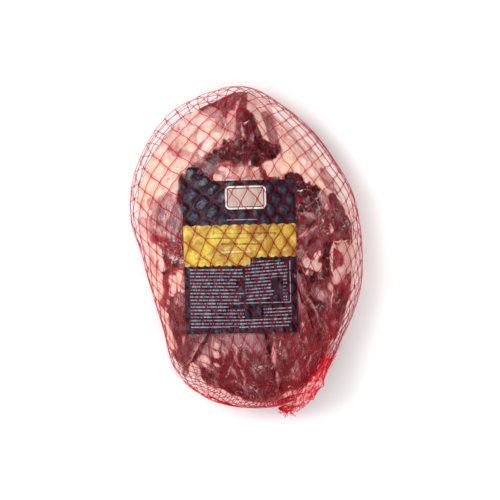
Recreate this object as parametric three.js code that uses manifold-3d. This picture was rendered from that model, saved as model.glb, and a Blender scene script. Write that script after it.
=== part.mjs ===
// A boneless cured shoulder ham, vacuum packed in clear film, with a printed label
// on top and a tubular mesh net pulled over the whole pack and gathered at one corner.
// Millimetres. Seen from above, +X is to the right and +Y is towards the shank end.
// +Z is up, and z = 0 is the surface that the pack lies on.
import * as THREE from "three";
import Module from "manifold-3d";
import { mergeVertices } from "three/addons/utils/BufferGeometryUtils.js";

// The outline of the net seen from above: its radius from the middle at every
// OUTLINE_STEP degrees, anticlockwise from +X.
const OUTLINE_STEP = 15;
const NET_OUTLINE = [
  106.2, 107.2, 111.2, 115.2, 124.4, 136.0, 150.0, 148.6, 143.4, 132.0, 120.8, 109.4,
  96.6, 93.4, 96.0, 105.9, 127.4, 138.4, 143.4, 144.4, 134.6, 120.4, 113.4, 109.4,
];

// Heights and the roundness of the section.
const CROWN_HEIGHT = 66; // the dome without its muscles
const RIM_HEIGHT = 27; // where the pack is widest
const RIM_SWAY = 4; // the rim rises and falls by this round the pack
const TOP_ROUNDNESS = 2.5; // exponent of the superellipse over the top
const FOOT_ROUNDNESS = 2.2; // the same for the underside
const FOOT_SHARE = 0.74; // share of the outline that lies flat

// Muscles and fat pads that stand up from the dome. at: middle; turn: degrees of the
// long axis from +X; long and wide: how far the swelling reaches; high: its height.
const LOBES = [
  { what: "shank muscle", at: [0, 112], turn: 94, long: 34, wide: 19, high: 10 },
  { what: "shank knuckle", at: [-2, 88], turn: 4, long: 30, wide: 10, high: 7 },
  { what: "left fat pad", at: [-50, 100], turn: 50, long: 26, wide: 20, high: 4 },
  { what: "right fat pad", at: [50, 92], turn: -52, long: 38, wide: 20, high: 5 },
  { what: "middle", at: [-4, 18], turn: 90, long: 46, wide: 42, high: 5 },
  { what: "left flank", at: [-74, 34], turn: 80, long: 26, wide: 15, high: 5 },
  { what: "right shoulder", at: [68, 36], turn: 60, long: 22, wide: 18, high: 6 },
  { what: "right edge muscle", at: [85, -38], turn: 80, long: 38, wide: 12, high: 6 },
  { what: "cut face", at: [22, -104], turn: 4, long: 54, wide: 30, high: 12 },
  { what: "tail muscle", at: [-54, -82], turn: 62, long: 28, wide: 12, high: 5 },
];

// Furrows where two muscles meet and where the film is drawn in, along a line of points.
const CREASES = [
  { what: "under the knuckle", along: [[-38, 76], [-12, 72], [14, 73], [34, 80]], wide: 8, deep: 8 },
  { what: "left of the shank", along: [[-24, 134], [-21, 112], [-22, 96]], wide: 8, deep: 3 },
  { what: "right of the shank", along: [[14, 138], [26, 112], [33, 92]], wide: 8, deep: 4 },
  { what: "left hollow", along: [[-55, 22], [-58, -6], [-72, -34]], wide: 8, deep: 6 },
  { what: "right hollow", along: [[52, -6], [70, -8], [68, -44]], wide: 8, deep: 6 },
  { what: "long film crease", along: [[47, -14], [62, -46], [78, -88]], wide: 7, deep: 4 },
  { what: "tail web", along: [[-28, -72], [-44, -92], [-62, -112]], wide: 8, deep: 8 },
  { what: "cut face furrow", along: [[20, -72], [27, -100], [36, -132]], wide: 8, deep: 5 },
  { what: "label tuck", along: [[5, -6], [-4, -42], [-20, -76]], wide: 9, deep: 4 },
];

// The printed label: a thin panel that follows the top.
const LABEL_WIDTH = 102;
const LABEL_LENGTH = 138;
const LABEL_AT = [-5.4, -5.6];
const LABEL_TURN = 1.4; // degrees, anticlockwise
const LABEL_THICK = 0.8;
const LABEL_GAP = 0.6; // clearance to the film below it
const LABEL_BRIDGE = 4.5; // it spans furrows narrower than about twice this
const LABEL_FEELERS = 8; // directions in which it looks for a higher place
const LABEL_CELLS = [18, 24];

// The gathered end of the net: a crumpled roll that runs from the knot back up along
// the lower right edge. Each stop is x, y, z and the roll's radius there.
const TAIL_STOPS = [
  [30, -145, 12, 1.4],
  [36, -145.8, 13, 4.6],
  [43, -143.4, 15, 6.8],
  [52, -137, 19, 8.6],
  [62, -127, 23, 8.8],
  [71, -116, 26, 7.6],
  [78, -105, 27, 5.2],
  [81.5, -99, 27.5, 1.6],
];
const TAIL_STEPS = 28;
const TAIL_SIDES = 18;
const TAIL_FOLDS = 5;
const TAIL_FOLD_SHARE = 0.13; // depth of a pleat as a share of the radius
const TAIL_TWIST = 7; // radians that the pleats turn along the roll

const TOP_CELLS = 56; // squares across the top of the body
const EVENNESS = 0.4; // 0 crowds the rings towards the rim, 1 spaces them evenly
const FOOT_RINGS = 5;
const MERGE_DISTANCE = 1e-3;

const FILM_COLOUR = 0xa84a4c;
const LABEL_COLOUR = 0x26243a;

// Value at `place`, counted in steps, on a closed smooth curve through evenly spaced values.
function closedCurve(values, place) {
  const n = values.length;
  const i = Math.floor(place);
  const f = place - i;
  const [a, b, c, d] = [-1, 0, 1, 2].map((k) => values[(((i + k) % n) + n) % n]);
  return b + 0.5 * f * (c - a + f * (2 * a - 5 * b + 4 * c - d + f * (3 * (b - c) + d - a)));
}

function outlineRadius(angle) {
  return closedCurve(NET_OUTLINE, THREE.MathUtils.radToDeg(angle) / OUTLINE_STEP);
}

function rimHeight(angle) {
  return RIM_HEIGHT - RIM_SWAY * Math.sin(angle);
}

function distanceToLine(x, y, points) {
  let nearest = Infinity;
  for (let i = 0; i + 1 < points.length; i++) {
    const [ax, ay] = points[i];
    const [bx, by] = points[i + 1];
    const [dx, dy] = [bx - ax, by - ay];
    const share = ((x - ax) * dx + (y - ay) * dy) / (dx * dx + dy * dy);
    const t = THREE.MathUtils.clamp(share, 0, 1);
    nearest = Math.min(nearest, Math.hypot(x - ax - t * dx, y - ay - t * dy));
  }
  return nearest;
}

// How far muscles and furrows lift or lower the dome at x, y.
function relief(x, y) {
  let height = 0;
  for (const { at, turn, long, wide, high } of LOBES) {
    const a = THREE.MathUtils.degToRad(turn);
    const [dx, dy] = [x - at[0], y - at[1]];
    const u = (dx * Math.cos(a) + dy * Math.sin(a)) / long;
    const v = (-dx * Math.sin(a) + dy * Math.cos(a)) / wide;
    height += high * Math.exp(-u * u - v * v);
  }
  for (const { along, wide, deep } of CREASES) {
    const d = distanceToLine(x, y, along) / wide;
    height -= deep * Math.exp(-d * d);
  }
  return height;
}

// Height of the top above the resting surface at a share of the outline's radius.
function topHeight(share, angle) {
  const reach = Math.min(share, 1);
  const rise = Math.pow(1 - Math.pow(reach, TOP_ROUNDNESS), 1 / TOP_ROUNDNESS);
  const radius = reach * outlineRadius(angle);
  const bumps = relief(radius * Math.cos(angle), radius * Math.sin(angle));
  const rim = rimHeight(angle);
  return rim + (CROWN_HEIGHT - rim + bumps) * rise;
}

function heightAt(x, y) {
  const angle = Math.atan2(y, x);
  return topHeight(Math.hypot(x, y) / outlineRadius(angle), angle);
}

// A square grid cell's corner as a place on a disc: its ring from 0 to 1, and its angle.
function onDisc(a, b) {
  if (a === 0 && b === 0) return [0, 0];
  if (Math.abs(a) >= Math.abs(b)) {
    return [Math.abs(a), (Math.PI / 4) * (b / a) + (a < 0 ? Math.PI : 0)];
  }
  return [Math.abs(b), Math.PI / 2 - (Math.PI / 4) * (a / b) + (b < 0 ? Math.PI : 0)];
}

// Two triangles for a square of corners, cut along the diagonal that rises least.
function splitSquare(points, [a, b, c, d]) {
  const rise = (p, q) => Math.abs(points[p][2] - points[q][2]);
  if (rise(a, c) <= rise(b, d)) return [[a, b, c], [a, c, d]];
  return [[a, b, d], [b, c, d]];
}

function geometryFrom(points, triangles) {
  const geometry = new THREE.BufferGeometry();
  geometry.setAttribute("position", new THREE.Float32BufferAttribute(points.flat(), 3));
  geometry.setIndex(triangles.flat());
  geometry.computeVertexNormals();
  return geometry;
}

// The film-wrapped ham in its net: a grid over the top, rings round the underside and
// a flat foot.
function bodyGeometry() {
  const points = [];
  const triangles = [];
  const n = TOP_CELLS;
  const index = (i, j) => i * (n + 1) + j;
  for (let i = 0; i <= n; i++) {
    for (let j = 0; j <= n; j++) {
      const [ring, angle] = onDisc((2 * i) / n - 1, (2 * j) / n - 1);
      const crowded = Math.pow(Math.sin((ring * Math.PI) / 2), 2 / TOP_ROUNDNESS);
      const share = THREE.MathUtils.lerp(crowded, ring, EVENNESS);
      const radius = share * outlineRadius(angle);
      points.push([radius * Math.cos(angle), radius * Math.sin(angle), topHeight(share, angle)]);
    }
  }
  for (let i = 0; i < n; i++) {
    for (let j = 0; j < n; j++) {
      const corners = [index(i, j), index(i + 1, j), index(i + 1, j + 1), index(i, j + 1)];
      triangles.push(...splitSquare(points, corners));
    }
  }
  let loop = [];
  for (let k = 0; k < n; k++) loop.push(index(n, k));
  for (let k = 0; k < n; k++) loop.push(index(n - k, n));
  for (let k = 0; k < n; k++) loop.push(index(0, n - k));
  for (let k = 0; k < n; k++) loop.push(index(k, 0));
  const angles = loop.map((k) => Math.atan2(points[k][1], points[k][0]));
  for (let ring = 1; ring <= FOOT_RINGS; ring++) {
    const turn = ((ring / FOOT_RINGS) * Math.PI) / 2;
    const out = ring === FOOT_RINGS ? 0 : Math.pow(Math.cos(turn), 2 / FOOT_ROUNDNESS);
    const down = Math.pow(Math.sin(turn), 2 / FOOT_ROUNDNESS);
    const share = FOOT_SHARE + (1 - FOOT_SHARE) * out;
    const next = angles.map((angle) => {
      const radius = share * outlineRadius(angle);
      const z = rimHeight(angle) * (1 - down);
      points.push([radius * Math.cos(angle), radius * Math.sin(angle), z]);
      return points.length - 1;
    });
    loop.forEach((a, k) => {
      const l = (k + 1) % loop.length;
      triangles.push([a, next[k], next[l]], [a, next[l], loop[l]]);
    });
    loop = next;
  }
  const flat = loop.map((k) => new THREE.Vector2(points[k][0], points[k][1]));
  for (const [a, b, c] of THREE.ShapeUtils.triangulateShape(flat, [])) {
    triangles.push([loop[a], loop[c], loop[b]]);
  }
  return geometryFrom(points, triangles);
}

// The net's gathered end: a tube along the stops, pleated lengthwise, with closed ends.
function tailGeometry() {
  const line = new THREE.CatmullRomCurve3(
    TAIL_STOPS.map(([x, y, z]) => new THREE.Vector3(x, y, z)),
  );
  const spans = TAIL_STOPS.length - 1;
  const points = [];
  const triangles = [];
  for (let step = 0; step <= TAIL_STEPS; step++) {
    const share = step / TAIL_STEPS;
    const centre = line.getPoint(share);
    const forward = line.getTangent(share);
    const side = new THREE.Vector3(0, 0, 1).cross(forward).normalize();
    const up = forward.clone().cross(side);
    const span = Math.min(Math.floor(share * spans), spans - 1);
    const [, , , from] = TAIL_STOPS[span];
    const [, , , to] = TAIL_STOPS[span + 1];
    const radius = THREE.MathUtils.lerp(from, to, share * spans - span);
    for (let k = 0; k < TAIL_SIDES; k++) {
      const turn = (k / TAIL_SIDES) * 2 * Math.PI;
      const pleat = 1 + TAIL_FOLD_SHARE * Math.sin(TAIL_FOLDS * turn + TAIL_TWIST * share);
      const p = centre.clone();
      p.addScaledVector(side, radius * pleat * Math.cos(turn));
      p.addScaledVector(up, radius * pleat * Math.sin(turn));
      points.push(p.toArray());
    }
  }
  for (let step = 0; step < TAIL_STEPS; step++) {
    for (let k = 0; k < TAIL_SIDES; k++) {
      const l = (k + 1) % TAIL_SIDES;
      const [a, b] = [step * TAIL_SIDES + k, step * TAIL_SIDES + l];
      const [c, d] = [a + TAIL_SIDES, b + TAIL_SIDES];
      triangles.push([a, b, d], [a, d, c]);
    }
  }
  for (const end of [0, 1]) {
    const first = end * TAIL_STEPS * TAIL_SIDES;
    points.push(line.getPoint(end).toArray());
    for (let k = 0; k < TAIL_SIDES; k++) {
      const pair = [first + k, first + ((k + 1) % TAIL_SIDES)];
      triangles.push(end ? [points.length - 1, ...pair] : [points.length - 1, ...pair.reverse()]);
    }
  }
  return geometryFrom(points, triangles);
}

// The label is stiffer than the film, so it rests on the highest place near each point.
function labelHeight(x, y) {
  let highest = heightAt(x, y);
  for (let k = 0; k < LABEL_FEELERS; k++) {
    const turn = (k / LABEL_FEELERS) * 2 * Math.PI;
    const near = heightAt(x + LABEL_BRIDGE * Math.cos(turn), y + LABEL_BRIDGE * Math.sin(turn));
    highest = Math.max(highest, near);
  }
  return highest;
}

// The label: one grid for its face, the same grid lower down for its back, and a rim.
function labelGeometry() {
  const [across, along] = LABEL_CELLS;
  const turn = THREE.MathUtils.degToRad(LABEL_TURN);
  const points = [];
  const triangles = [];
  const index = (layer, i, j) => (layer * (across + 1) + i) * (along + 1) + j;
  for (const layer of [0, 1]) {
    for (let i = 0; i <= across; i++) {
      for (let j = 0; j <= along; j++) {
        const p = (i / across - 0.5) * LABEL_WIDTH;
        const q = (j / along - 0.5) * LABEL_LENGTH;
        const x = LABEL_AT[0] + p * Math.cos(turn) - q * Math.sin(turn);
        const y = LABEL_AT[1] + p * Math.sin(turn) + q * Math.cos(turn);
        points.push([x, y, labelHeight(x, y) + LABEL_GAP + layer * LABEL_THICK]);
      }
    }
  }
  for (let i = 0; i < across; i++) {
    for (let j = 0; j < along; j++) {
      const corners = [[i, j], [i + 1, j], [i + 1, j + 1], [i, j + 1]];
      const [a, b, c, d] = corners.map(([u, v]) => index(1, u, v));
      const [e, f, g, h] = corners.map(([u, v]) => index(0, u, v));
      triangles.push([a, b, c], [a, c, d], [e, g, f], [e, h, g]);
    }
  }
  const rim = [];
  for (let i = 0; i < across; i++) rim.push([i, 0]);
  for (let j = 0; j < along; j++) rim.push([across, j]);
  for (let i = across; i > 0; i--) rim.push([i, along]);
  for (let j = along; j > 0; j--) rim.push([0, j]);
  rim.forEach(([i, j], k) => {
    const [u, v] = rim[(k + 1) % rim.length];
    const [a, b, c, d] = [index(0, i, j), index(0, u, v), index(1, u, v), index(1, i, j)];
    triangles.push([a, b, c], [a, c, d]);
  });
  return geometryFrom(points, triangles);
}

const wasm = await Module();
wasm.setup();

function solidFrom(geometry) {
  const bare = geometry.clone();
  bare.deleteAttribute("normal");
  const merged = mergeVertices(bare, MERGE_DISTANCE);
  return new wasm.Manifold(
    new wasm.Mesh({
      numProp: 3,
      vertProperties: merged.attributes.position.array,
      triVerts: new Uint32Array(merged.index.array),
    }),
  );
}

function geometryOf(solid) {
  const mesh = solid.getMesh();
  const geometry = new THREE.BufferGeometry();
  geometry.setAttribute("position", new THREE.BufferAttribute(mesh.vertProperties, 3));
  geometry.setIndex(new THREE.BufferAttribute(mesh.triVerts, 1));
  geometry.computeVertexNormals();
  return geometry;
}

// One net holds the ham, so the gathered end is joined to the body.
function nettedHam() {
  const solid = solidFrom(bodyGeometry()).add(solidFrom(tailGeometry()));
  const mesh = new THREE.Mesh(
    geometryOf(solid),
    new THREE.MeshStandardMaterial({ color: FILM_COLOUR, roughness: 0.35, metalness: 0 }),
  );
  mesh.name = "netted_ham";
  return mesh;
}

function printedLabel() {
  const mesh = new THREE.Mesh(
    labelGeometry(),
    new THREE.MeshStandardMaterial({ color: LABEL_COLOUR, roughness: 0.3, metalness: 0 }),
  );
  mesh.name = "label";
  return mesh;
}

const pack = new THREE.Group();
pack.add(nettedHam(), printedLabel());

export default pack;
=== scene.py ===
# %% [markdown]
# # A netted shoulder ham
# The real thing is a boneless cured shoulder: dark lean and cream fat, pressed flat under a
# tight clear film. A printed label lies on it, and a red net is drawn over everything and tied
# at the narrow end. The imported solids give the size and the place. This notebook builds what
# is seen: the meat, the film, the label, the net and its gathered tail.
# All sizes are millimetres until a mesh is made.

# %% Tools and frame
import math

import bpy
import numpy as np
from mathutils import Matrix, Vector


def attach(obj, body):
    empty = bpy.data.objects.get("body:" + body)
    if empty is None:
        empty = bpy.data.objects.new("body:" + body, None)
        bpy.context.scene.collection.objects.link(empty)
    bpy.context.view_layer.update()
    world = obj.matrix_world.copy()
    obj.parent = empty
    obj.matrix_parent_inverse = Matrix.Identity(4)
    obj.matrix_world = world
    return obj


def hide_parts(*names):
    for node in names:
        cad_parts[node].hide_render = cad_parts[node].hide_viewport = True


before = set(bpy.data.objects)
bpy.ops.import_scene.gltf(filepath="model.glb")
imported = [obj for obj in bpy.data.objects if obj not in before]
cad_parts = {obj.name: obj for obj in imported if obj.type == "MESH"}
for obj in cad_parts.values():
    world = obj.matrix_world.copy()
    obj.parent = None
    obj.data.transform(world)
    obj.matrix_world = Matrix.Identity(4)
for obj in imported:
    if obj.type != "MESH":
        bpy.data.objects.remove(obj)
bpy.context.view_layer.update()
MM = 0.001
TURN = 2 * math.pi

# %% [markdown]
# ## Outlines and heights
# Seen from above, the net and the ham each have an outline: a radius every 15 degrees round the
# middle. A smooth closed curve through those values is enough for a shape without corners.
# The heights are the ones of the solid: a rim, a crown above it, and soft lobes for the muscles
# that swell under the film. The net rides on the lobes and bridges the furrows between them.

# %% Outlines
OUTLINE_STEP = 15
NET_OUTLINE = np.array([
    106.2, 107.2, 111.2, 115.2, 124.4, 136.0, 150.0, 148.6, 143.4, 132.0, 120.8, 109.4,
    96.6, 93.4, 96.0, 105.9, 127.4, 138.4, 143.4, 144.4, 134.6, 120.4, 113.4, 109.4])
HAM_OUTLINE = np.array([
    99.7, 101.1, 108.0, 111.6, 120.8, 132.7, 146.4, 139.5, 132.2, 122.6, 113.5, 103.9,
    93.3, 91.5, 94.2, 103.9, 124.4, 129.9, 138.2, 141.8, 132.7, 117.1, 106.7, 102.0])
TAIL_TIP = (243.8, 2.4, 5.0)  # angle in degrees, half width in degrees, rise in mm
NOTCH = (247.8, 2.4, -9.0)


def eased(value, low, high):
    """A smooth step: 0 up to low, 1 from high on."""
    part = np.clip((value - low) / (high - low), 0, 1)
    return part * part * (3 - 2 * part)


def unit(vectors):
    """Each vector made one long."""
    return vectors / np.linalg.norm(vectors, axis=-1, keepdims=True)


def bell(away, wide, power=2):
    """One at no distance, fading to nothing over about that width."""
    return np.exp(-(away / wide) ** power)


def cubic(a, b, c, d, part):
    """From b to c by a cubic that leaves each of them along the line between its neighbours."""
    bend = 3 * (b - c) + d - a
    return b + 0.5 * part * (c - a + part * (2 * a - 5 * b + 4 * c - d + part * bend))


def closed_curve(values, place):
    """A smooth closed curve through the values, by a cubic from each one to the next."""
    first = np.floor(place).astype(int)
    return cubic(*(values[(first + k) % len(values)] for k in (-1, 0, 1, 2)), place - first)


def net_radius(angle):
    """The net's outline at an angle, in radians."""
    return closed_curve(NET_OUTLINE, np.degrees(angle) / OUTLINE_STEP)


def ham_radius(angle, corners=(TAIL_TIP, NOTCH)):
    """The meat's outline at an angle: the closed curve, plus a narrow bell for the tip at the
    lower left and a narrow bell taken away for the notch beside it."""
    degrees = np.degrees(angle) % 360
    radius = closed_curve(HAM_OUTLINE, degrees / OUTLINE_STEP)
    for at, wide, rise in corners:
        radius = radius + rise * bell(degrees - at, wide)
    return radius


print("net is", NET_OUTLINE.min(), "to", NET_OUTLINE.max(), "mm from its middle")

# %% Lobes and furrows
# A lobe has its middle, turn in degrees, length, width and height; a furrow has its line, half
# width and depth.
CROWN_HEIGHT, RIM_HEIGHT, RIM_SWAY = 66.0, 27.0, 4.0
LOBES = [
    ("shank muscle", (0, 112), 94, 34, 19, 10),
    ("shank knuckle", (-2, 88), 4, 30, 10, 7),
    ("left fat pad", (-50, 100), 50, 26, 20, 4),
    ("right fat pad", (50, 92), -52, 38, 20, 5),
    ("middle", (-4, 18), 90, 46, 42, 5),
    ("left flank", (-74, 34), 80, 26, 15, 5),
    ("right shoulder", (68, 36), 60, 22, 18, 6),
    ("right edge muscle", (85, -38), 80, 38, 12, 6),
    ("cut face", (22, -104), 4, 54, 30, 12),
    ("tail muscle", (-54, -82), 62, 28, 12, 5),
]
CREASES = [
    ("under the knuckle", [(-34, 75), (-12, 72), (14, 73), (34, 80)], 8, 6),
    ("left of the shank", [(-24, 134), (-21, 112), (-22, 96)], 8, 3),
    ("right of the shank", [(14, 138), (26, 112), (33, 92)], 8, 4),
    ("left hollow", [(-55, 22), (-58, -6), (-72, -34)], 8, 6),
    ("right hollow", [(52, -6), (70, -8), (68, -44)], 8, 6),
    ("long film crease", [(47, -14), (62, -46), (78, -88)], 7, 4),
    ("tail web", [(-28, -72), (-44, -92), (-62, -112)], 8, 8),
    ("cut face furrow", [(20, -72), (27, -100), (36, -132)], 8, 5),
    ("label tuck", [(5, -6), (-4, -42), (-20, -76)], 9, 4),
]


def near_line(x, y, line):
    """Distance from each point to a bent line, the least of the distances to its pieces, and
    how far along the line the nearest place is, from 0 to 1."""
    best, along = np.full(np.shape(x), np.inf), np.zeros(np.shape(x))
    for piece, ((ax, ay), (bx, by)) in enumerate(zip(line, line[1:])):
        dx, dy = bx - ax, by - ay
        part = np.clip(((x - ax) * dx + (y - ay) * dy) / (dx * dx + dy * dy), 0, 1)
        away = np.hypot(x - ax - part * dx, y - ay - part * dy)
        along = np.where(away < best, (piece + part) / (len(line) - 1), along)
        best = np.minimum(best, away)
    return best, along


def line_distance(x, y, line):
    """The distance alone."""
    return near_line(x, y, line)[0]


def lobe_height(x, y):
    """Sum of the lobes: each is its height times a bell over a turned ellipse."""
    height = np.zeros(np.shape(x))
    for _, (cx, cy), turn, long, wide, high in LOBES:
        c, s = math.cos(math.radians(turn)), math.sin(math.radians(turn))
        u = ((x - cx) * c + (y - cy) * s) / long
        v = ((y - cy) * c - (x - cx) * s) / wide
        height += high * np.exp(-u * u - v * v)
    return height


def along_lines(x, y, rows, power=2):
    """Sum of ridges: each is its height times a bell of the distance to its line."""
    return sum(high * bell(line_distance(x, y, line), wide, power) for *_, line, wide, high in rows)


def crease_depth(x, y):
    """Depth of the furrows."""
    return along_lines(x, y, CREASES)


def rim_height(angle):
    """Height of the widest line: a little lower at the shank, a little higher at the foot."""
    return RIM_HEIGHT - RIM_SWAY * np.sin(angle)


print(len(LOBES), "lobes rise up to", max(lobe[-1] for lobe in LOBES), "mm each")

# %% [markdown]
# ## The envelope that the net lies on
# A net under tension lies on a smooth closed surface: the top is a rounded cap over the lobes,
# and the foot curls in to the table. To keep every strand on it, the surface is stored as a
# table of distances from one inner point, by direction, and a point is put back on the surface
# by scaling its distance. That is quick enough to be repeated thousands of times.

# %% Envelope
TOP_ROUNDNESS, FOOT_ROUNDNESS, FOOT_SHARE = 2.45, 2.1, 0.72
SLACK_FLATTENS = 0.075
NET_LIFT, STRAND_RADIUS = 1.4, 0.33
CENTRE = np.array([0.0, 0.0, RIM_HEIGHT])
AZIMUTHS, ELEVATIONS = 360, 181
CAP_STEPS, FOOT_STEPS = 240, 80


def cap_rise(share, roundness):
    """One at the middle and nothing at the rim, along a superellipse of that roundness."""
    return (1 - np.clip(share, 0, 1) ** roundness) ** (1 / roundness)


def slack_of(angle):
    """How much the net's outline is wider than the ham's, times the flattening: where the net
    hangs loose it is folded flat, so its side is less round there."""
    ham = closed_curve(HAM_OUTLINE, np.degrees(angle) / OUTLINE_STEP)
    return SLACK_FLATTENS * (net_radius(angle) - ham)


def net_height(x, y):
    """Height of the net's middle line above a point: the rim, plus the crown and lobes times
    the rise of the cap, plus the net's own lift."""
    angle = np.arctan2(y, x)
    share = np.hypot(x, y) / net_radius(angle)
    rim = rim_height(angle)
    rise = cap_rise(share, TOP_ROUNDNESS - slack_of(angle))
    return rim + (CROWN_HEIGHT - rim + lobe_height(x, y) + NET_LIFT) * rise


def foot_profile(turn, roundness):
    """Share of the radius and share of the rim height, from the rim (turn 0) to the table."""
    share = FOOT_SHARE + (1 - FOOT_SHARE) * np.cos(turn) ** (2 / roundness)
    return share, 1 - np.sin(turn) ** (2 / roundness)


def radial_table():
    """Distance from the inner point to the envelope, by azimuth (rows) and elevation."""
    azimuth = np.arange(AZIMUTHS) * TURN / AZIMUTHS
    elevation = np.linspace(-math.pi / 2, math.pi / 2, ELEVATIONS)
    share = np.sin(np.linspace(0, 1, CAP_STEPS) * math.pi / 2) ** (2 / TOP_ROUNDNESS)
    turn = np.linspace(0, math.pi / 2, FOOT_STEPS)[1:]
    flat = np.linspace(FOOT_SHARE, 0, FOOT_STEPS)[1:]
    table = np.zeros((AZIMUTHS, ELEVATIONS))
    for row, angle in enumerate(azimuth):
        foot, down = foot_profile(turn, FOOT_ROUNDNESS - slack_of(angle))
        radius = np.concatenate([share, foot, flat]) * net_radius(angle)
        top = net_height(share * net_radius(angle) * math.cos(angle),
                         share * net_radius(angle) * math.sin(angle))
        height = np.concatenate([top, rim_height(angle) * down + STRAND_RADIUS,
                                 np.full_like(flat, STRAND_RADIUS)]) - CENTRE[2]
        seen = np.arctan2(height, radius)
        order = np.argsort(seen)
        table[row] = np.interp(elevation, seen[order], np.hypot(height, radius)[order])
    return table


TABLE = radial_table()
print("envelope is", TABLE.min().round(1), "to", TABLE.max().round(1), "mm from its middle")

# %% Putting points on the envelope


def read_between(table, row, column):
    """A value between the table's four nearest entries. Its rows close on themselves."""
    above = np.floor(row)
    i = above.astype(int) % len(table)
    after = (i + 1) % len(table)
    j = np.clip(np.floor(column).astype(int), 0, table.shape[1] - 2)
    down, along = row - above, column - j
    near = table[i, j] * (1 - down) + table[after, j] * down
    far = table[i, j + 1] * (1 - down) + table[after, j + 1] * down
    return near * (1 - along) + far * along


def on_envelope(points):
    """Scales each point's distance from the inner point to the one in the table."""
    away = points - CENTRE
    flat = np.hypot(away[..., 0], away[..., 1])
    azimuth = np.arctan2(away[..., 1], away[..., 0]) / TURN * AZIMUTHS % AZIMUTHS
    elevation = (np.arctan2(away[..., 2], flat) / math.pi + 0.5) * (ELEVATIONS - 1)
    reach = read_between(TABLE, azimuth, elevation)
    return CENTRE + away * (reach / np.linalg.norm(away, axis=-1))[..., None]


# %% [markdown]
# ## The net's cells
# The net is a knitted tube of diamonds, gathered at one end to the tied knot and at the other
# end under the ham. First a round lattice is laid between those two points with a map that
# turns circles into circles, so no cell is skewed. Then it is drawn tight: each strand between
# two joints pulls when it is longer than its own length and gives way when it is shorter, and
# every joint moves a little towards its neighbours. That gives cells of one size where the net
# is free and narrow ones where it is gathered, as on the real pack.

# %% First lattice
CELLS, LEVELS = 38, 58
KNOT = np.array([33.5, -142.5, 14.0])
FAR_END = np.array([0.0, 70.0, STRAND_RADIUS])
HALF_SIZE = np.array([106.0, 150.0, 36.0])
TWIST, CROWD, CROWDED_FROM, CROWDED_TO = 0.55, 3.0, 0.05, 0.5
NEAR_KNOT, NEAR_END, ALONG_STEPS, ROUND_STEPS = -4.2, 3.4, 400, 361
OFF_SEAM = 1e-3


def to_plane(point):
    """A point of the envelope, squeezed to a ball and seen from its top pole on a plane."""
    ball = unit((point - CENTRE) / HALF_SIZE)
    return (ball[0] + 1j * ball[1]) / (1 - ball[2])


def between_ends(along, turn):
    """The point at a place along and round the tube: a ratio of two lines maps the knot to
    minus infinity and the far end to plus infinity, then the plane goes back to the ball."""
    knot, far = to_plane(KNOT), to_plane(FAR_END)
    growth = np.exp(along + 1j * turn)
    plane = (knot - far * growth) / (1 - growth)
    square = np.abs(plane) ** 2
    ball = np.stack([2 * plane.real, 2 * plane.imag, square - 1], -1) / (square + 1)[..., None]
    return on_envelope(CENTRE + ball * HALF_SIZE)


def first_lattice():
    """Rings of joints, evenly far apart, every second ring shifted by half a cell. Round a ring
    the joints are spaced by length, so that they don't crowd at the pack's thin sides. Near the
    knot a length on the top counts more, because most strands are drawn over the top there."""
    along = np.linspace(NEAR_KNOT, NEAR_END, ALONG_STEPS)
    angle = TURN * np.linspace(0, 1, ROUND_STEPS) + OFF_SEAM
    lines = between_ends(along[:, None], angle[None, :])
    step = np.linalg.norm(np.diff(lines, axis=0), axis=-1).mean(1)
    length = np.concatenate([[0], np.cumsum(step)])
    rings = np.interp(np.linspace(0, length[-1], LEVELS + 1), length, along)
    lines = between_ends(rings[:, None], angle[None, :])
    turned = np.zeros((LEVELS + 1, CELLS))
    for level, line in enumerate(lines):
        length = np.linalg.norm(np.diff(line, axis=0), axis=-1)
        near_knot = eased(-rings[level], CROWDED_FROM, CROWDED_TO)
        length = length * (1 + CROWD * near_knot * eased(line[1:, 2], RIM_HEIGHT, CROWN_HEIGHT))
        arc = np.concatenate([[0], np.cumsum(length)])
        share = (np.arange(CELLS) + level % 2 / 2) / CELLS + TWIST * rings[level] / TURN
        turned[level] = np.interp(share % 1 * arc[-1], arc, angle)
    return between_ends(rings[:, None], turned)


joints = first_lattice()

# %% Drawing the net tight
STRAND_LENGTH, LENGTH_SPREAD = 10.2, 0.1
OPENS, MEAN_SLACK, GATHERED = 0.75, 0.35, 0.5
PULL, PUSH, EASE, HURRY, ROUNDS = 0.9, 0.02, 0.12, 1.2, 3200
NET_SEED = 7


def shifted(rings, steps, sign):
    """Turns each ring by its own whole number of places."""
    out = np.empty_like(rings)
    for step in (-1, 0, 1):
        rows = steps == step
        out[rows] = np.roll(rings[rows], sign * step, axis=1)
    return out


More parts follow.
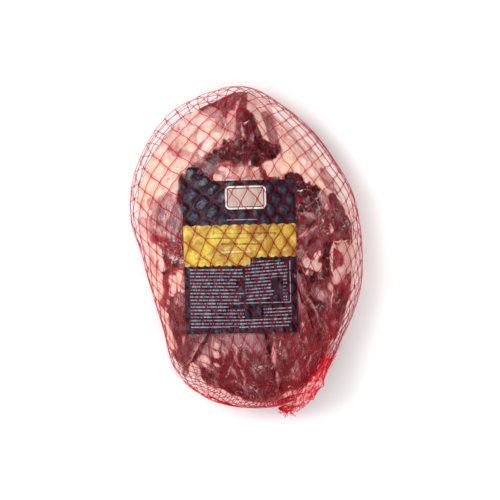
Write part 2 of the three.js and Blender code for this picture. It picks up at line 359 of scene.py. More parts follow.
def draw_tight(net, rounds):
    """Repeats: each strand moves its two joints along itself by a share of its stretch, each
    joint eases towards the mean of its neighbours, and all go back on the envelope. Where the
    net hangs slack its strands count as longer, so its cells open wider there."""
    even = np.arange(len(net) - 1) % 2 == 0
    steps = [np.where(even, 1, 0), np.where(even, 0, -1)]
    spread = np.random.default_rng(NET_SEED).standard_normal((2, len(net) - 1, CELLS))
    slack = slack_of(np.arctan2(net[:-1, :, 1], net[:-1, :, 0]))
    rest = STRAND_LENGTH * (1 + LENGTH_SPREAD * spread) * (1 + OPENS * (slack - MEAN_SLACK))
    links = np.full(len(net), 4.0)[:, None, None]
    links[[0, -1]] /= 2
    for _ in range(rounds):
        move, around = np.zeros_like(net), np.zeros_like(net)
        for side, step in enumerate(steps):
            upper = shifted(net[1:], step, 1)
            strand = upper - net[:-1]
            length = np.linalg.norm(strand, axis=-1)
            stretch = length - rest[side]
            stiff = np.where(stretch > 0, PULL, PUSH)
            pull = strand * (0.5 * stiff * stretch / length)[..., None]
            move[:-1] += pull
            around[:-1] += upper
            move[1:] -= shifted(pull, step, -1)
            around[1:] += shifted(net[:-1], step, -1)
        new = net + HURRY * move / links + EASE * (around / links - net)
        new[[0, -1]] = net[[0, -1]]
        net = on_envelope(new)
    return net


tight = draw_tight(joints, ROUNDS)
drawn = eased(np.arange(LEVELS + 1) / LEVELS, 0.0, GATHERED)[:, None, None]
joints = on_envelope(joints + drawn * (tight - joints))
reach = np.linalg.norm(joints[1:] - joints[:-1], axis=-1)
print("strands between joints are", np.percentile(reach, [5, 50, 95]).round(1), "mm long")

# %% [markdown]
# ## Strands
# In a knitted net no strand crosses another: two neighbours run side by side for a few
# millimetres, bound together, and part again. So every strand is a zigzag that touches the
# strand on its left and the one on its right in turn. Its path is a smooth curve that passes
# each joint along the tube's length, a little to its own side, which gives the long joints.

# %% Paths of the strands
JOINT_GAP, JOINT_PULL = 0.3, 0.85
STEPS = np.array([0.0, 0.2, 0.5, 0.8])


def strand_paths(net, cells):
    """Two families of paths, with a measure of how near each point is to a joint: a cubic
    between neighbouring joints that starts and ends along the tube, set aside by the gap."""
    levels = len(net)
    low, high = np.maximum(np.arange(levels) - 2, 0), np.minimum(np.arange(levels) + 2, levels - 1)
    axis = unit(net[high] - net[low])
    aside = unit(np.roll(net, -1, axis=1) - np.roll(net, 1, axis=1))
    even = (np.arange(levels) % 2 == 0)[:, None]
    sign = np.where(even, 1.0, -1.0)[..., None]
    families = []
    for hand in (1, -1):
        column = np.arange(cells)[None, :] - (0 if hand > 0 else np.where(even, 0, 1))
        rows = np.arange(levels)[:, None]
        start = net[rows, column % cells] + hand * sign * JOINT_GAP * aside[rows, column % cells]
        way = np.broadcast_to(axis[rows, column % cells], start.shape)
        reach = np.linalg.norm(start[1:] - start[:-1], axis=-1)[None, ..., None] * JOINT_PULL
        t = STEPS[:, None, None, None]
        path = ((1 + 2 * t) * (1 - t) ** 2 * start[:-1] + t * (1 - t) ** 2 * reach * way[:-1]
                + t * t * (3 - 2 * t) * start[1:] + t * t * (t - 1) * reach * way[1:])
        path = np.concatenate([path.transpose(1, 0, 2, 3).reshape(-1, cells, 3), start[-1:]])
        families.append(path.transpose(1, 0, 2))
    near = np.abs(np.concatenate([np.tile(STEPS, levels - 1), [0.0]]) - 0.5) * 2
    return families, near


paths, nearness = strand_paths(joints, CELLS)
paths = [on_envelope(path) for path in paths]
print("each family has", paths[0].shape[0], "strands of", paths[0].shape[1], "points")

# %% [markdown]
# ## Noise
# Flesh, film and net are never quite even. One kind of noise serves all of them: random values
# at the corners of cubes, eased from one corner to the next. Its size is in millimetres, and
# the table of values comes from a fixed seed, so the ham is the same each time.

# %% Noise
NOISE_SIDE, NOISE_SEED = 32, 3
NOISE_VALUES = np.random.default_rng(NOISE_SEED).random((NOISE_SIDE,) * 3)
SEED_SHIFT = np.array([7.31, 3.17, 5.53])


def cube_noise(points, size, seed):
    """Values from 0 to 1: between the corners of a cube they are mixed with an eased share."""
    place = points / size + SEED_SHIFT * seed
    cell = np.floor(place).astype(int)
    part = place - cell
    part = part * part * (3 - 2 * part)
    total = np.zeros(points.shape[:-1])
    for corner in np.ndindex(2, 2, 2):
        index = (cell + corner) % NOISE_SIDE
        share = np.prod(np.where(np.array(corner) == 1, part, 1 - part), axis=-1)
        total += share * NOISE_VALUES[index[..., 0], index[..., 1], index[..., 2]]
    return total


def rough_noise(points, size, seed, layers=3):
    """Layers of noise, each half as large and half as strong as the one before, from 0 to 1."""
    strength = 0.5 ** np.arange(layers)
    layered = sum(s * cube_noise(points, size * s, seed + k) for k, s in enumerate(strength))
    return layered / strength.sum()


def folded_noise(points, size, seed, layers=3):
    """Noise folded at its middle value, so that its ridges are sharp; from 0 to 1."""
    return 1 - np.abs(2 * rough_noise(points, size, seed, layers) - 1)


def jitter(points, size, seeds, layers=1):
    """A shift for each point: one noise for each seed, from -0.5 to 0.5."""
    return np.stack([rough_noise(points, size, seed, layers) for seed in seeds], -1) - 0.5


print("noise table has", NOISE_VALUES.size, "values, mean", NOISE_VALUES.mean().round(3))

# %% [markdown]
# ## Where the net presses
# Each strand sinks into what lies below, and the film and the label puff up in the cells
# between. A map of that pressure is the strands drawn on a fine grid and blurred: a blur along
# both axes is a product with two tables of bell weights.

# %% Pressure map
MAP_STEP, MAP_EDGE, BLUR, FINE = 0.75, 1.001, 1.7, 4
MAP_HALF = np.array([111.0, 156.0])
UPPER_FROM = RIM_HEIGHT + 3


def pressure_map():
    """Adds up the length of the upper strands in each square and blurs it with a bell, so that
    the middle of a single strand reads 1."""
    family = np.concatenate(paths)
    part = np.linspace(0, 1, FINE, endpoint=False)[:, None, None, None]
    dense = family[:, :-1] * (1 - part) + family[:, 1:] * part
    length = np.linalg.norm(np.diff(family, axis=1), axis=-1) / FINE
    length = np.broadcast_to(length, dense.shape[:-1])
    upper = dense[..., 2] > UPPER_FROM
    cells = (2 * MAP_HALF / MAP_STEP).astype(int)
    lengths, _, _ = np.histogram2d(dense[upper][:, 0], dense[upper][:, 1], bins=cells,
                                   range=np.stack([-MAP_HALF, MAP_HALF], -1), weights=length[upper])
    bells = []
    for count in cells:
        apart = (np.arange(count)[:, None] - np.arange(count)[None, :]) * MAP_STEP
        bells.append(np.exp(-apart ** 2 / (2 * BLUR ** 2)))
    single = BLUR * math.sqrt(TURN)
    return np.clip(bells[0] @ lengths @ bells[1] / single, 0, 1)


PRESSURE = pressure_map()


def pressure_at(x, y):
    """Reads the map between its four nearest squares, up to just inside its last ones."""
    row, column = (np.clip((at + half) / MAP_STEP - 0.5, 0, count - MAP_EDGE)
                   for at, half, count in zip((x, y), MAP_HALF, PRESSURE.shape))
    return read_between(PRESSURE, row, column)


print("the net presses on", round(float((PRESSURE > 0.5).mean()), 2), "of the map")

# %% [markdown]
# ## The body under the film
# The meat and the film share one base surface. A square grid pressed into a disc covers the top
# without a pole in the middle, rings carry on round the foot, and a fan closes the flat
# underside. The base is the lower of two caps: the ham's own and the inside of the net.
# Then each piece moves its vertices in or out along the normals.

# %% Grid of a closed body
HAM_ROUNDNESS, EVENNESS = 3.2, 0.4
FOOT_RINGS, FLAT_RINGS = 16, 8
NET_CLEARANCE, MEETING = 0.8, 1.2
BED, FILM_IN_FURROW = 1.6, 0.4


def disc_grid(cells):
    """A square sheet pressed into a disc: a point's ring is the larger of its two coordinates,
    and its angle is an eighth of a turn times their ratio, from the side that it faces."""
    line = np.linspace(-1, 1, cells + 1)
    a, b = np.meshgrid(line, line)
    ring = np.maximum(np.abs(a), np.abs(b))
    wide = np.abs(a) >= np.abs(b)
    ratio = np.where(wide, b, a) / np.where(ring > 0, np.where(wide, a, b), 1)
    angle = np.where(wide, TURN / 8 * ratio + TURN / 2 * (a < 0),
                     TURN / 4 - TURN / 8 * ratio + TURN / 2 * (b < 0))
    return ring, angle


def closed_faces(cells, rings):
    """Faces of the grid, of the rings hung on its border, and of the fan that closes them."""
    index = np.arange((cells + 1) ** 2).reshape(cells + 1, cells + 1)
    top = np.stack([index[:-1, :-1], index[:-1, 1:], index[1:, 1:], index[1:, :-1]], -1)
    border = np.concatenate([index[0, :-1], index[:-1, -1], index[-1, :0:-1], index[:0:-1, 0]])
    hung = index.size + np.arange(rings * border.size).reshape(rings, -1)
    loops = np.concatenate([border[None], hung])
    after = np.roll(loops, -1, axis=1)
    side = np.stack([loops[:-1], loops[1:], after[1:], after[:-1]], -1).reshape(-1, 4)
    pole = np.full(border.size, index.size + hung.size)
    fan = np.stack([pole, after[-1], loops[-1]], -1)
    return np.concatenate([top.reshape(-1, 4), side]), fan, border


def lower_of(a, b, meeting):
    """The lower of two heights, with a soft corner where they meet."""
    least = np.minimum(a, b)
    return least - meeting * np.log1p(np.exp(-np.abs(a - b) / meeting))


def body_grid(cells, bed, corners=(TAIL_TIP, NOTCH)):
    """Base points and faces of a closed body: the top, the foot and the flat underside."""
    ring, angle = disc_grid(cells)
    share = (1 - EVENNESS) * np.sin(ring * math.pi / 2) ** (2 / HAM_ROUNDNESS) + EVENNESS * ring
    radius = share * ham_radius(angle, corners)
    x, y = radius * np.cos(angle), radius * np.sin(angle)
    rim = rim_height(angle)
    relief = CROWN_HEIGHT - rim + lobe_height(x, y) - FILM_IN_FURROW * crease_depth(x, y)
    own = rim + relief * cap_rise(share, HAM_ROUNDNESS)
    z = lower_of(own, net_height(x, y) - STRAND_RADIUS - NET_CLEARANCE, MEETING)
    top = np.stack([x, y, np.where(ring < 1, z, rim)], -1).reshape(-1, 3)
    quads, fan, border = closed_faces(cells, FOOT_RINGS + FLAT_RINGS)
    around = angle.reshape(-1)[border]
    foot, down = foot_profile(np.linspace(0, math.pi / 2, FOOT_RINGS + 1)[1:], FOOT_ROUNDNESS)
    flat = np.linspace(FOOT_SHARE, 0, FLAT_RINGS + 2)[1:-1]
    shares = np.concatenate([foot, flat])[:, None]
    heights = np.concatenate([down, np.zeros(FLAT_RINGS)])[:, None]
    low = bed + (rim_height(around) - bed) * heights
    reach = shares * ham_radius(around, corners)
    under = np.stack([reach * np.cos(around), reach * np.sin(around), low], -1).reshape(-1, 3)
    points = np.concatenate([top, under, [[0.0, 0.0, bed]]])
    return points, quads, fan


def normals_of(points, quads):
    """Each vertex's normal: the sum of the cross products of its faces' diagonals, made one
    long. The last vertex is the fan's middle and looks down."""
    corner = points[quads]
    cross = np.cross(corner[:, 2] - corner[:, 0], corner[:, 3] - corner[:, 1])
    total = np.stack([np.bincount(quads.ravel(), np.repeat(cross[:, k], 4), len(points))
                      for k in range(3)], -1)
    total[-1] = (0, 0, -1)
    return unit(total)


HAM_CELLS = 256
ham_base, ham_quads, ham_fan = body_grid(HAM_CELLS, BED)
ham_normals = normals_of(ham_base, ham_quads)
print("meat grid has", len(ham_base), "points, top at", round(float(ham_base[:, 2].max()), 1), "mm")

# %% [markdown]
# ## Lean, fat and crust
# The cut surface of the shoulder shows pads of cream fat, dark muscles between them, and a dried
# black crust at the knuckle. Each is laid on as a brush stroke: a bent line with a half width,
# painted over the ones before it, with its edge torn by noise. Three amounts result: how much
# fat, how dark, and how veiled the spot is by film that has lost its touch. That grey veil is
# partly a painted reflection of the film, and a few strokes are painted light outright: glints,
# the pale lines of film folds and the shade beside them.

# %% Brush strokes
# A stroke has a name, a half width, its fat, dark and veil, and the bends of its line.
STROKES = [
    # the cut face and the tail, ground
    ("ground of the cut face", 26, 0, 0.4, 0.22, (-14, -104), (16, -108), (46, -100)),
    ("low left meat", 9.2, 0, 0.5, 0.3, (-68, -50), (-64, -73), (-61, -91)),
    ("tail wedge", 11.9, 0, 0.6, 0.35, (-42, -80), (-49, -93), (-57, -106)),
    ("brown patch right of the wedge", 7.3, 0.1, 0.35, 0.7, (-29, -77), (-37, -89), (-42, -98)),
    ("right of the cut face", 14.6, 0, 0.15, 0.2, (51, -77), (57, -100), (52, -117)),
    ("dried rim of the cut face", 4.6, 0, 0.7, 0.1, (-38, -113), (-22, -126), (0, -134), (22, -134)),
    ("mottling below the label", 9, 0.1, 0.2, 0.5, (-22, -80), (0, -80), (14, -84)),
    ("dark left of the oval", 2.4, 0, 0.8, 0.2, (-56, -106), (-45, -99)),
    # left fat
    ("left fat pad", 20.1, 1, 0, 0.2, (-31, 116), (-51, 103), (-68, 86)),
    ("left fat, middle", 15.6, 1, 0, 0.14, (-70, 85), (-76, 66), (-74, 55)),
    ("left rim of fat", 11, 1, 0, 0.03, (-86, 78), (-91, 51), (-93, 23), (-88, 0), (-83, -27)),
    ("left rim of fat, low", 4.6, 1, 0, 0, (-83, -27), (-79, -45), (-74, -68), (-69, -87)),
    ("fat beside the shank", 9.2, 1, 0, 0.1, (-30, 121), (-29, 107), (-35, 92)),
    ("rosy haze in the left fat", 6.5, 0.72, 0.05, 0.2, (-70, 114), (-67, 100), (-66, 84)),
    ("rosy band", 4.4, 0.5, 0.1, 0.2, (-66, 92), (-51, 86), (-39, 80)),
    ("grey fat beside the shank", 3.0, 0.62, 0.2, 0.8, (-15, 122), (-16, 106)),
    ("grey fat left of the shank", 3.2, 0.66, 0.15, 0.8, (-31, 115), (-23, 106)),
    ("rosy spots", 2.6, 0.6, 0.15, 0.3, (-70, 95), (-62, 92)),
    ("rosy spots below", 2.4, 0.6, 0.15, 0.35, (-60, 85), (-50, 83)),
    ("rosy mottle 1", 2.6, 0.45, 0.1, 0.5, (-58, 92), (-51, 86), (-45, 85)),
    ("rosy mottle 2", 2.6, 0.4, 0.15, 0.5, (-51, 80), (-44, 75)),
    ("rosy mottle 3", 2.2, 0.45, 0.1, 0.7, (-40, 98), (-44, 90)),
    ("rosy mottle 4", 2.2, 0.5, 0.1, 0.5, (-64, 100), (-60, 96)),
    ("rosy edge at the upper left", 3.2, 0.55, 0.1, 0.2, (-90, 92), (-79, 108), (-66, 118)),
    ("red above the label's left", 3.2, 0.15, 0.25, 0.1, (-53, 72), (-44, 77), (-30, 75)),
    # right fat and the fat above the label
    ("right fat pad", 22, 1, 0, 0.12, (18, 134), (42, 110), (58, 86), (75, 66)),
    ("right fat, lower", 16.5, 1, 0, 0.15, (33, 85), (49, 75), (60, 65)),
    ("fat above the label", 7.3, 1, 0, 0.25, (-24, 68), (-2, 69), (14, 70)),
    ("fat above the label, right", 7.3, 1, 0, 0.08, (22, 74), (35, 75), (49, 72)),
    # shank: its top, the grey pads, the red column and the folds beside it
    ("shank top", 7.3, 0, -0.15, 0.05, (-33, 133), (-19, 138), (-3, 140)),
    ("shank top, left end", 3.7, 0, 0.05, 0.15, (-40, 131), (-30, 134)),
    ("dark blot", 2.9, 0, 0.75, 0, (-20, 135), (-19, 130)),
    ("dark blot by the column", 3.1, 0, 0.8, 0, (-12, 140), (-11, 136)),
    ("grey pad", 6.0, 0.35, 0.4, 0.95, (-32, 127), (-28, 125)),
    ("grey pad, lower", 6.0, 0.3, 0.45, 1, (-23, 118), (-19, 114)),
    ("grey pad, dark middle", 2.4, 0, 0.65, 0.8, (-22, 119), (-19, 114)),
    ("crimson between the pads", 3.4, 0, -0.3, 0, (-23, 129), (-19, 125), (-13, 127)),
    ("large pale pad", 4.6, 0.6, 0.15, 0.85, (-13, 124), (-13, 114), (-10, 103)),
    ("shank column", 5.9, 0, 0.2, 0.05, (0, 142), (-2, 127), (-2, 110), (-3, 98)),
    ("thin pale streak", 1.2, 0.6, 0, 0.9, (-6, 141), (-8, 134), (-10, 127)),
    ("column's brown core", 2.2, 0, 0.8, 0.1, (-1, 123), (1, 112), (1, 101)),
    ("pale lines in the column", 0.9, 0.5, 0, 0.9, (-4, 118), (-3, 107), (-1, 97)),
    ("grey pad right of the column", 4.8, 0.95, 0, 0.6, (5, 142), (6, 132), (10, 125)),
    ("beige pad below it", 4.2, 1, 0, 0.4, (12, 132), (13, 121), (14, 112)),
    ("dark wedge", 4.2, 0, 0.8, 0.05, (3, 123), (7, 112), (11, 99)),
    ("dark wedge, grey heart", 1.8, 0, 0.5, 0.7, (6, 107), (7, 99)),
    ("cream strip", 4.2, 1, 0, 0.05, (14, 118), (18, 107), (22, 97)),
    ("grey strip", 4.8, 0, 0.6, 0.6, (20, 125), (24, 112), (27, 97)),
    ("red end of the grey strip", 3.3, 0, 0.25, 0.05, (28, 97), (30, 93), (25, 90)),
    ("fat fold at the right", 1.5, 0.8, 0.2, 0.9, (14, 140), (35, 116), (49, 96), (66, 77)),
    ("fat fold, lower", 1.3, 0.8, 0.2, 0.9, (27, 116), (42, 96), (55, 83)),
    # crust at the knuckle, lump by lump
    ("crust ground", 8.6, 0, 0.75, 0.05, (-19, 89), (-6, 88), (9, 89), (22, 90)),
    ("crust, top left", 2.7, 0, 0.7, 0, (-14, 101), (-9, 96)),
    ("crust lump 1", 6.1, 0, 1, 0, (-17, 86), (-14, 85)),
    ("crust lump 2", 6.1, 0, 1, 0, (-7, 89), (-4, 83)),
    ("crust lump 3", 6.5, 0, 1, 0, (7, 88), (9, 83)),
    ("crust lump 4", 5.6, 0, 1, 0, (16, 95), (18, 89)),
    ("crust lump 5", 4.4, 0, 1, 0, (-3, 97), (2, 92)),
    ("crust lump 6", 2.7, 0, 1, 0, (24, 86), (28, 85)),
    ("crust lump 7", 3.7, 0, 0.95, 0.1, (-29, 90), (-24, 86)),
    ("mottled knot", 4.2, 0.05, 0.95, 0.25, (-35, 85), (-31, 81)),
    ("crust lump 8", 4.6, 0, 1, 0, (-16, 82), (-9, 79)),
    ("crust lump 9", 5, 0, 1, 0, (7, 81), (14, 83)),
    ("crust lump 10", 2.6, 0, 1, 0, (-30, 96), (-28, 97)),
    ("crust lump 11", 2.4, 0, 1, 0, (-22, 101), (-20, 98)),
    ("crust lump 12", 2.6, 0, 1, 0, (-9, 104), (-7, 100)),
    ("crust lump 13", 2.8, 0, 1, 0, (9, 102), (14, 97)),
    ("crust lump 14", 2.4, 0, 1, 0, (22, 91), (24, 86)),
    ("crust lump 15", 2.6, 0, 1, 0, (1, 76), (5, 75)),
    ("crust lump 16", 2.4, 0, 0.9, 0.1, (-34, 86), (-30, 81)),
    ("pale gap in the crust", 1.6, 0.9, 0, 0.3, (3, 80), (3, 75)),
    ("pale lumps of the crust", 1.8, 0.1, 0.8, 0.5, (-10, 87), (-8, 92)),
    ("pale lumps of the crust, right", 1.8, 0.1, 0.8, 0.5, (14, 89), (18, 86)),
    # rosy lines and dark edges above the label
    ("spot left of the fat", 2.4, 0, 0.7, 0.4, (-28, 73), (-27, 70)),
    ("grey lens above the label", 2.8, 0.75, 0.1, 0.8, (-10, 73), (-3, 69)),
    ("brown lens above the label", 2.4, 0.7, 0.2, 0.8, (7, 72), (12, 67)),
    ("rosy line above the label", 2.4, 0.4, 0.05, 0.3, (-30, 77), (-17, 79), (-2, 75)),
    ("rosy line above the label, low", 1.8, 0.45, 0.05, 0.3, (-22, 67), (-8, 65), (9, 68)),
    ("rosy line above the label, middle", 1.6, 0.45, 0.1, 0.3, (-13, 75), (-8, 68)),
    ("rosy patch above the label", 2.8, 0.35, 0.05, 0.4, (1, 73), (3, 68)),
    ("rosy patch above the label, left", 2.6, 0.35, 0.1, 0.4, (-25, 72), (-20, 66)),
    ("split above the label", 3.0, 0, 0.3, 0.05, (14, 79), (16, 70), (19, 62)),
    ("rosy edge by the split", 2.2, 0.5, 0, 0.2, (-15, 72), (-11, 66)),
    ("brown fat, right", 3.7, 0.75, 0.2, 0.5, (27, 72), (33, 67)),
    ("dark meat at the label's top", 5.1, 0, 0.9, 0, (39, 67), (46, 65), (49, 59)),
    # spots in the upper right
    ("dark spots above the shoulder", 2.4, 0.1, 0.6, 0.5, (68, 75), (72, 71)),
    ("grey mark in the right fat", 4.6, 0.3, 0.25, 0.9, (72, 68), (78, 61)),
    ("maroon spot in the right fat", 2.4, 0, 0.6, 0.1, (80, 58), (83, 54)),
    # left flank, grey under its film, partly a painted reflection of the film
    ("rosy patch, left", 5, 0.5, 0, 0.35, (-87, 43), (-82, 36)),
    ("left flank", 9.6, 0.12, 0, 0.85, (-73, 42), (-75, 30), (-72, 19)),
    ("left flank, right part", 6.4, 0.05, 0.2, 0.85, (-67, 38), (-62, 24), (-63, 15)),
    ("left flank, low left", 5.5, 0.1, 0, 0.8, (-83, 26), (-83, 15)),
    ("pale lens in the flank", 2.6, 0.9, 0, 0.4, (-83, 21), (-78, 19)),
    ("pale lines in the flank", 1.4, 0.7, 0, 0.5, (-75, 18), (-69, 12)),
    # left hollow: dark spots, red stems, fat beside the label
    ("dark column left of the label", 4.2, 0, 0.85, 0.05, (-57, 65), (-58, 54), (-59, 46)),
    ("brown below it", 3.1, 0, 0.5, 0.3, (-57, 44), (-54, 32), (-53, 21)),
    ("red stem", 4.8, 0, -0.3, 0, (-82, 11), (-72, 5), (-66, 0)),
    ("red stem, right", 3.8, 0, -0.2, 0, (-66, 0), (-61, 4), (-58, 10)),
    ("grey lens in the stem", 2.2, 0.6, 0, 0.8, (-77, 7), (-73, 5)),
    ("white glint spot", 1.5, 1, 0, 0, (-67, 8), (-64, 8)),
    ("mauve spot", 3.3, 0.7, 0, 0.7, (-68, -6), (-64, -7)),
    ("crinkle by the label", 2.7, 0.4, 0.5, 0.7, (-60, -6), (-57, -12)),
    ("dark spots", 2.7, 0, 0.95, 0, (-77, -20), (-71, -22)),
    ("dark spots, upper", 2.6, 0, 0.9, 0, (-70, -14), (-64, -11)),
    ("red between the spots", 3.0, 0, -0.3, 0, (-72, -24), (-65, -20), (-60, -13)),
    ("red column", 4.4, 0, -0.25, 0, (-73, -26), (-73, -38), (-76, -48)),
    ("fat beside the label", 4, 1, 0, 0.03, (-69, -27), (-68, -38)),
    ("rosy fat beside the label", 4.2, 0.8, 0, 0.05, (-62, -22), (-59, -34)),
    ("grey spot", 3.5, 0.1, 0.45, 0.8, (-62, -42), (-61, -46)),
    ("pale bubbles", 1.8, 0.8, 0, 0.6, (-73, -45), (-70, -49)),
    # tail muscle, its stripes and its fat tip
    ("dark stripes of the low meat", 1.8, 0, 0.75, 0.1, (-66, -56), (-63, -73), (-63, -87)),
    ("pale streak in the tail", 1.0, 0.5, 0, 0.7, (-56, -75), (-58, -85)),
    ("pale streak in the tail, left", 0.9, 0.5, 0, 0.7, (-66, -82), (-64, -93)),
    # The next two strokes are the painted shade and the painted highlight of the film fold across the
    # tail.
    ("dark band across the tail", 2.2, 0, 0.85, 0.1, (-31, -75), (-38, -87), (-46, -99), (-54, -106)),
    ("light line across the tail", 0.8, 0.5, 0, 1, (-36, -75), (-43, -90), (-51, -101), (-61, -110)),
    ("fat at the tail's tip", 2.7, 1, 0, 0, (-60, -113), (-57, -118)),
    ("fat in the notch", 5.5, 1, 0, 0.0, (-49, -110), (-47, -118)),
    # pale cells, veins and mottling of the cut face
    ("grey cream cell 1", 3.3, 0.75, 0, 0.6, (-28, -85), (-26, -89)),
    ("grey cream cell 2", 3.3, 0.75, 0, 0.6, (-29, -93), (-25, -96)),
    ("grey cream cell 3", 2.6, 0.5, 0.1, 0.8, (-19, -87), (-18, -93)),
    ("cream oval", 4.0, 0.95, 0, 0.5, (-39, -101), (-37, -103)),
    ("small pale cell", 1.5, 0.7, 0, 0.6, (-30, -104), (-24, -105)),
    ("vein 1", 0.8, 0.4, 0, 1, (-12, -86), (-9, -91), (-11, -96), (-7, -102), (-3, -107)),
    ("vein 2", 0.7, 0.35, 0, 1, (-13, -104), (-16, -110), (-18, -116)),
    ("vein 3", 0.7, 0.35, 0, 1, (-5, -109), (-2, -117), (-2, -129)),
    ("vein 4", 0.9, 0.4, 0, 1, (0, -87), (5, -93), (11, -87)),
    ("vein 5", 0.9, 0.4, 0, 1, (67, -91), (60, -96), (57, -104), (57, -111)),
    ("vein 6", 0.9, 0.4, 0, 1, (54, -78), (56, -86)),
    ("mottle 1", 2.2, 0, 0.45, 0.6, (-36, -104), (-30, -109)),
    ("mottle 2", 2.0, 0, 0.45, 0.6, (-22, -87), (-20, -97)),
    ("mottle 3", 1.8, 0, 0.5, 0.6, (-3, -93), (-1, -102)),
    ("mottle 4", 2.0, 0, 0.45, 0.6, (-13, -106), (-9, -116)),
    ("mottle 5", 2.2, 0, 0.4, 0.6, (-33, -118), (-25, -124)),
    ("mottle 6", 1.8, 0, 0.55, 0.55, (6, -106), (8, -117)),
    ("mottle 7", 2.4, 0, 0.4, 0.65, (9, -80), (11, -90)),
    ("mottle 8", 2.0, 0, 0.5, 0.55, (35, -87), (37, -98)),
    ("mottle 9", 2.0, 0, 0.45, 0.6, (46, -106), (49, -115)),
    ("mottle 10", 1.8, 0, 0.5, 0.55, (-6, -122), (1, -128)),
    # furrow of the cut face and the ovals beside it
    ("seam", 2.6, 0, 0.95, 0.1, (18, -71), (21, -87), (24, -102)),
    ("slit", 2.2, 0, 1, 0, (24, -102), (27, -115), (33, -131)),
    ("cream streak", 2.0, 0.6, 0, 0.8, (26, -84), (25, -97), (26, -108)),
    ("small white spot", 1.1, 0.9, 0, 0.4, (31, -82), (32, -86)),
    ("dark red oval", 3.3, 0, 0.75, 0, (35, -102), (35, -109)),
    ("grey ovals", 2.2, 0, 0.5, 0.75, (43, -106), (43, -112)),
    ("grey ovals, right", 2, 0, 0.5, 0.75, (47, -100), (47, -107)),
    ("grey ovals, low", 2, 0, 0.5, 0.75, (40, -115), (47, -117)),
    ("grey line beside the slit", 1.5, 0.2, 0.2, 0.9, (28, -112), (30, -126)),
    # muscles right of the label, with painted glints on the film over them
    ("mauve beside the label", 5.1, 0.1, 0.1, 0.75, (46, -23), (47, -38), (47, -56)),
    ("red beside the label, low", 4, 0, 0.2, 0.2, (46, -58), (51, -75)),
    ("meat right of the label, top", 8.7, 0, 0.97, 0.05, (55, 54), (60, 46), (57, 37)),
    ("dark meat by the arc", 5.5, 0, 0.95, 0.12, (64, 54), (64, 43)),
    ("olive patch", 3.1, 0.2, 0.55, 0.8, (51, 33), (60, 32), (66, 26)),
    # Grey glints of the film, painted.
    ("lilac film patch", 3.7, 0.3, 0.2, 1, (71, 52), (72, 41)),
    ("right shoulder muscle", 6.9, 0, 0.6, 0.3, (82, 48), (88, 35), (90, 19)),
    ("red edge of the shoulder", 2.9, 0, 0, 0.05, (77, 46), (78, 33)),
    ("mid red meat", 8.2, 0, 0.3, 0.3, (53, 21), (61, 13), (53, 4)),
    ("dark streaks in it", 2.4, 0, 0.8, 0.05, (53, 21), (64, 26)),
    ("dark streaks in it, low", 2.4, 0, 0.8, 0.05, (57, 4), (64, 11)),
    ("mid red meat, right", 5, 0, 0.2, 0.35, (69, 22), (71, 10), (64, 0)),
    ("pale slanted streak", 1.6, 0.4, 0.1, 1, (63, 22), (49, 11)),
    # The next two white strokes are painted glints.
    ("white flash, upper", 1.8, 1, 0, 0.2, (77, 24), (78, 20), (76, 15)),
    ("white spot", 1.8, 1, 0, 0.2, (73, 43), (72, 38)),
    # white fat and dark crevices at the right
    ("purple oval", 3.8, 0, 0.35, 0.75, (51, -4), (53, -7)),
    ("pale rim over the oval", 1.3, 0.6, 0, 0.8, (44, -3), (49, 0), (57, -3)),
    ("white fat", 4.6, 1, 0, 0.2, (57, -11), (67, -16)),
    ("white fat, upper", 2.9, 1, 0, 0.15, (67, -1), (65, -9)),
    ("white fat, between", 3.4, 1, 0, 0.3, (54, -11), (63, -11)),
    ("pale finger below it", 1.5, 0.9, 0, 0.4, (56, -18), (56, -23)),
    ("dark crevice", 3.8, 0, 0.9, 0.05, (75, 5), (74, -7), (73, -20)),
    ("dark crevice, low", 4.2, 0, 0.98, 0, (69, -24), (63, -26)),
    ("dark spots below the oval", 2.2, 0, 0.9, 0, (49, -19), (53, -22)),
    ("cream strip, right", 1.6, 0.85, 0, 0.3, (80, 9), (78, -5), (78, -18), (82, -27)),
    ("cream band, right", 1.0, 0.85, 0, 0.2, (80, 8), (93, 10)),
    ("fat, right", 5.6, 0.85, 0, 0.95, (89, 3), (95, -2), (95, -11)),
    ("fat, right, slanted", 4.2, 0.85, 0, 0.85, (95, -12), (89, -19), (82, -27)),
    ("grey cream in the fat, right", 3.4, 0.9, 0, 0.6, (80, -20), (87, -16), (92, -11)),
    ("grey cream in the fat, top", 3.0, 0.9, 0, 0.55, (80, 4), (87, 2), (93, -1)),
    ("red spot in the fat", 2.8, 0.25, -0.1, 0.1, (84, 0), (87, -6), (85, -13)),
    ("grey lens", 2.4, 0.6, 0.1, 0.9, (75, -30), (77, -37)),
    # low right: folds of film over red meat, with painted highlights and painted shade of the folds
    ("grey lilac patch", 4.6, 0.05, 0.35, 0.85, (66, -38), (71, -42)),
    ("dark spots, right", 3.8, 0, 0.85, 0, (64, -48), (69, -51)),
    ("dark streak, right low", 2.7, 0, 0.8, 0.1, (57, -47), (60, -62)),
    ("tan line", 0.9, 0.7, 0, 0.5, (78, -31), (78, -45), (77, -59)),
    # Pale fold lines are painted highlights; the dark sides beside them are painted shade.
    ("fold line, outer", 1.2, 0.25, 0.2, 1, (48, -7), (57, -32), (67, -56), (75, -82)),
    ("fold line, outer, dark side", 1.2, 0, 0.98, 0, (51, -16), (60, -38), (69, -62), (78, -85)),
    ("fold line, inner", 1.1, 0.3, 0.2, 1, (43, -20), (49, -40), (57, -61), (67, -83)),
    ("fold line, inner, dark side", 1.3, 0, 0.95, 0.05, (46, -31), (54, -51), (62, -73)),
    ("pale fold strip", 1.3, 0.4, 0.1, 0.85, (46, -22), (55, -40), (63, -53), (69, -69)),
    ("peach strip, low", 1.5, 0.85, 0, 0.2, (73, -65), (77, -75), (78, -84)),
    ("right edge muscle", 7.8, 0, 0.0, 0.05, (93, -32), (88, -47), (84, -64), (80, -84)),
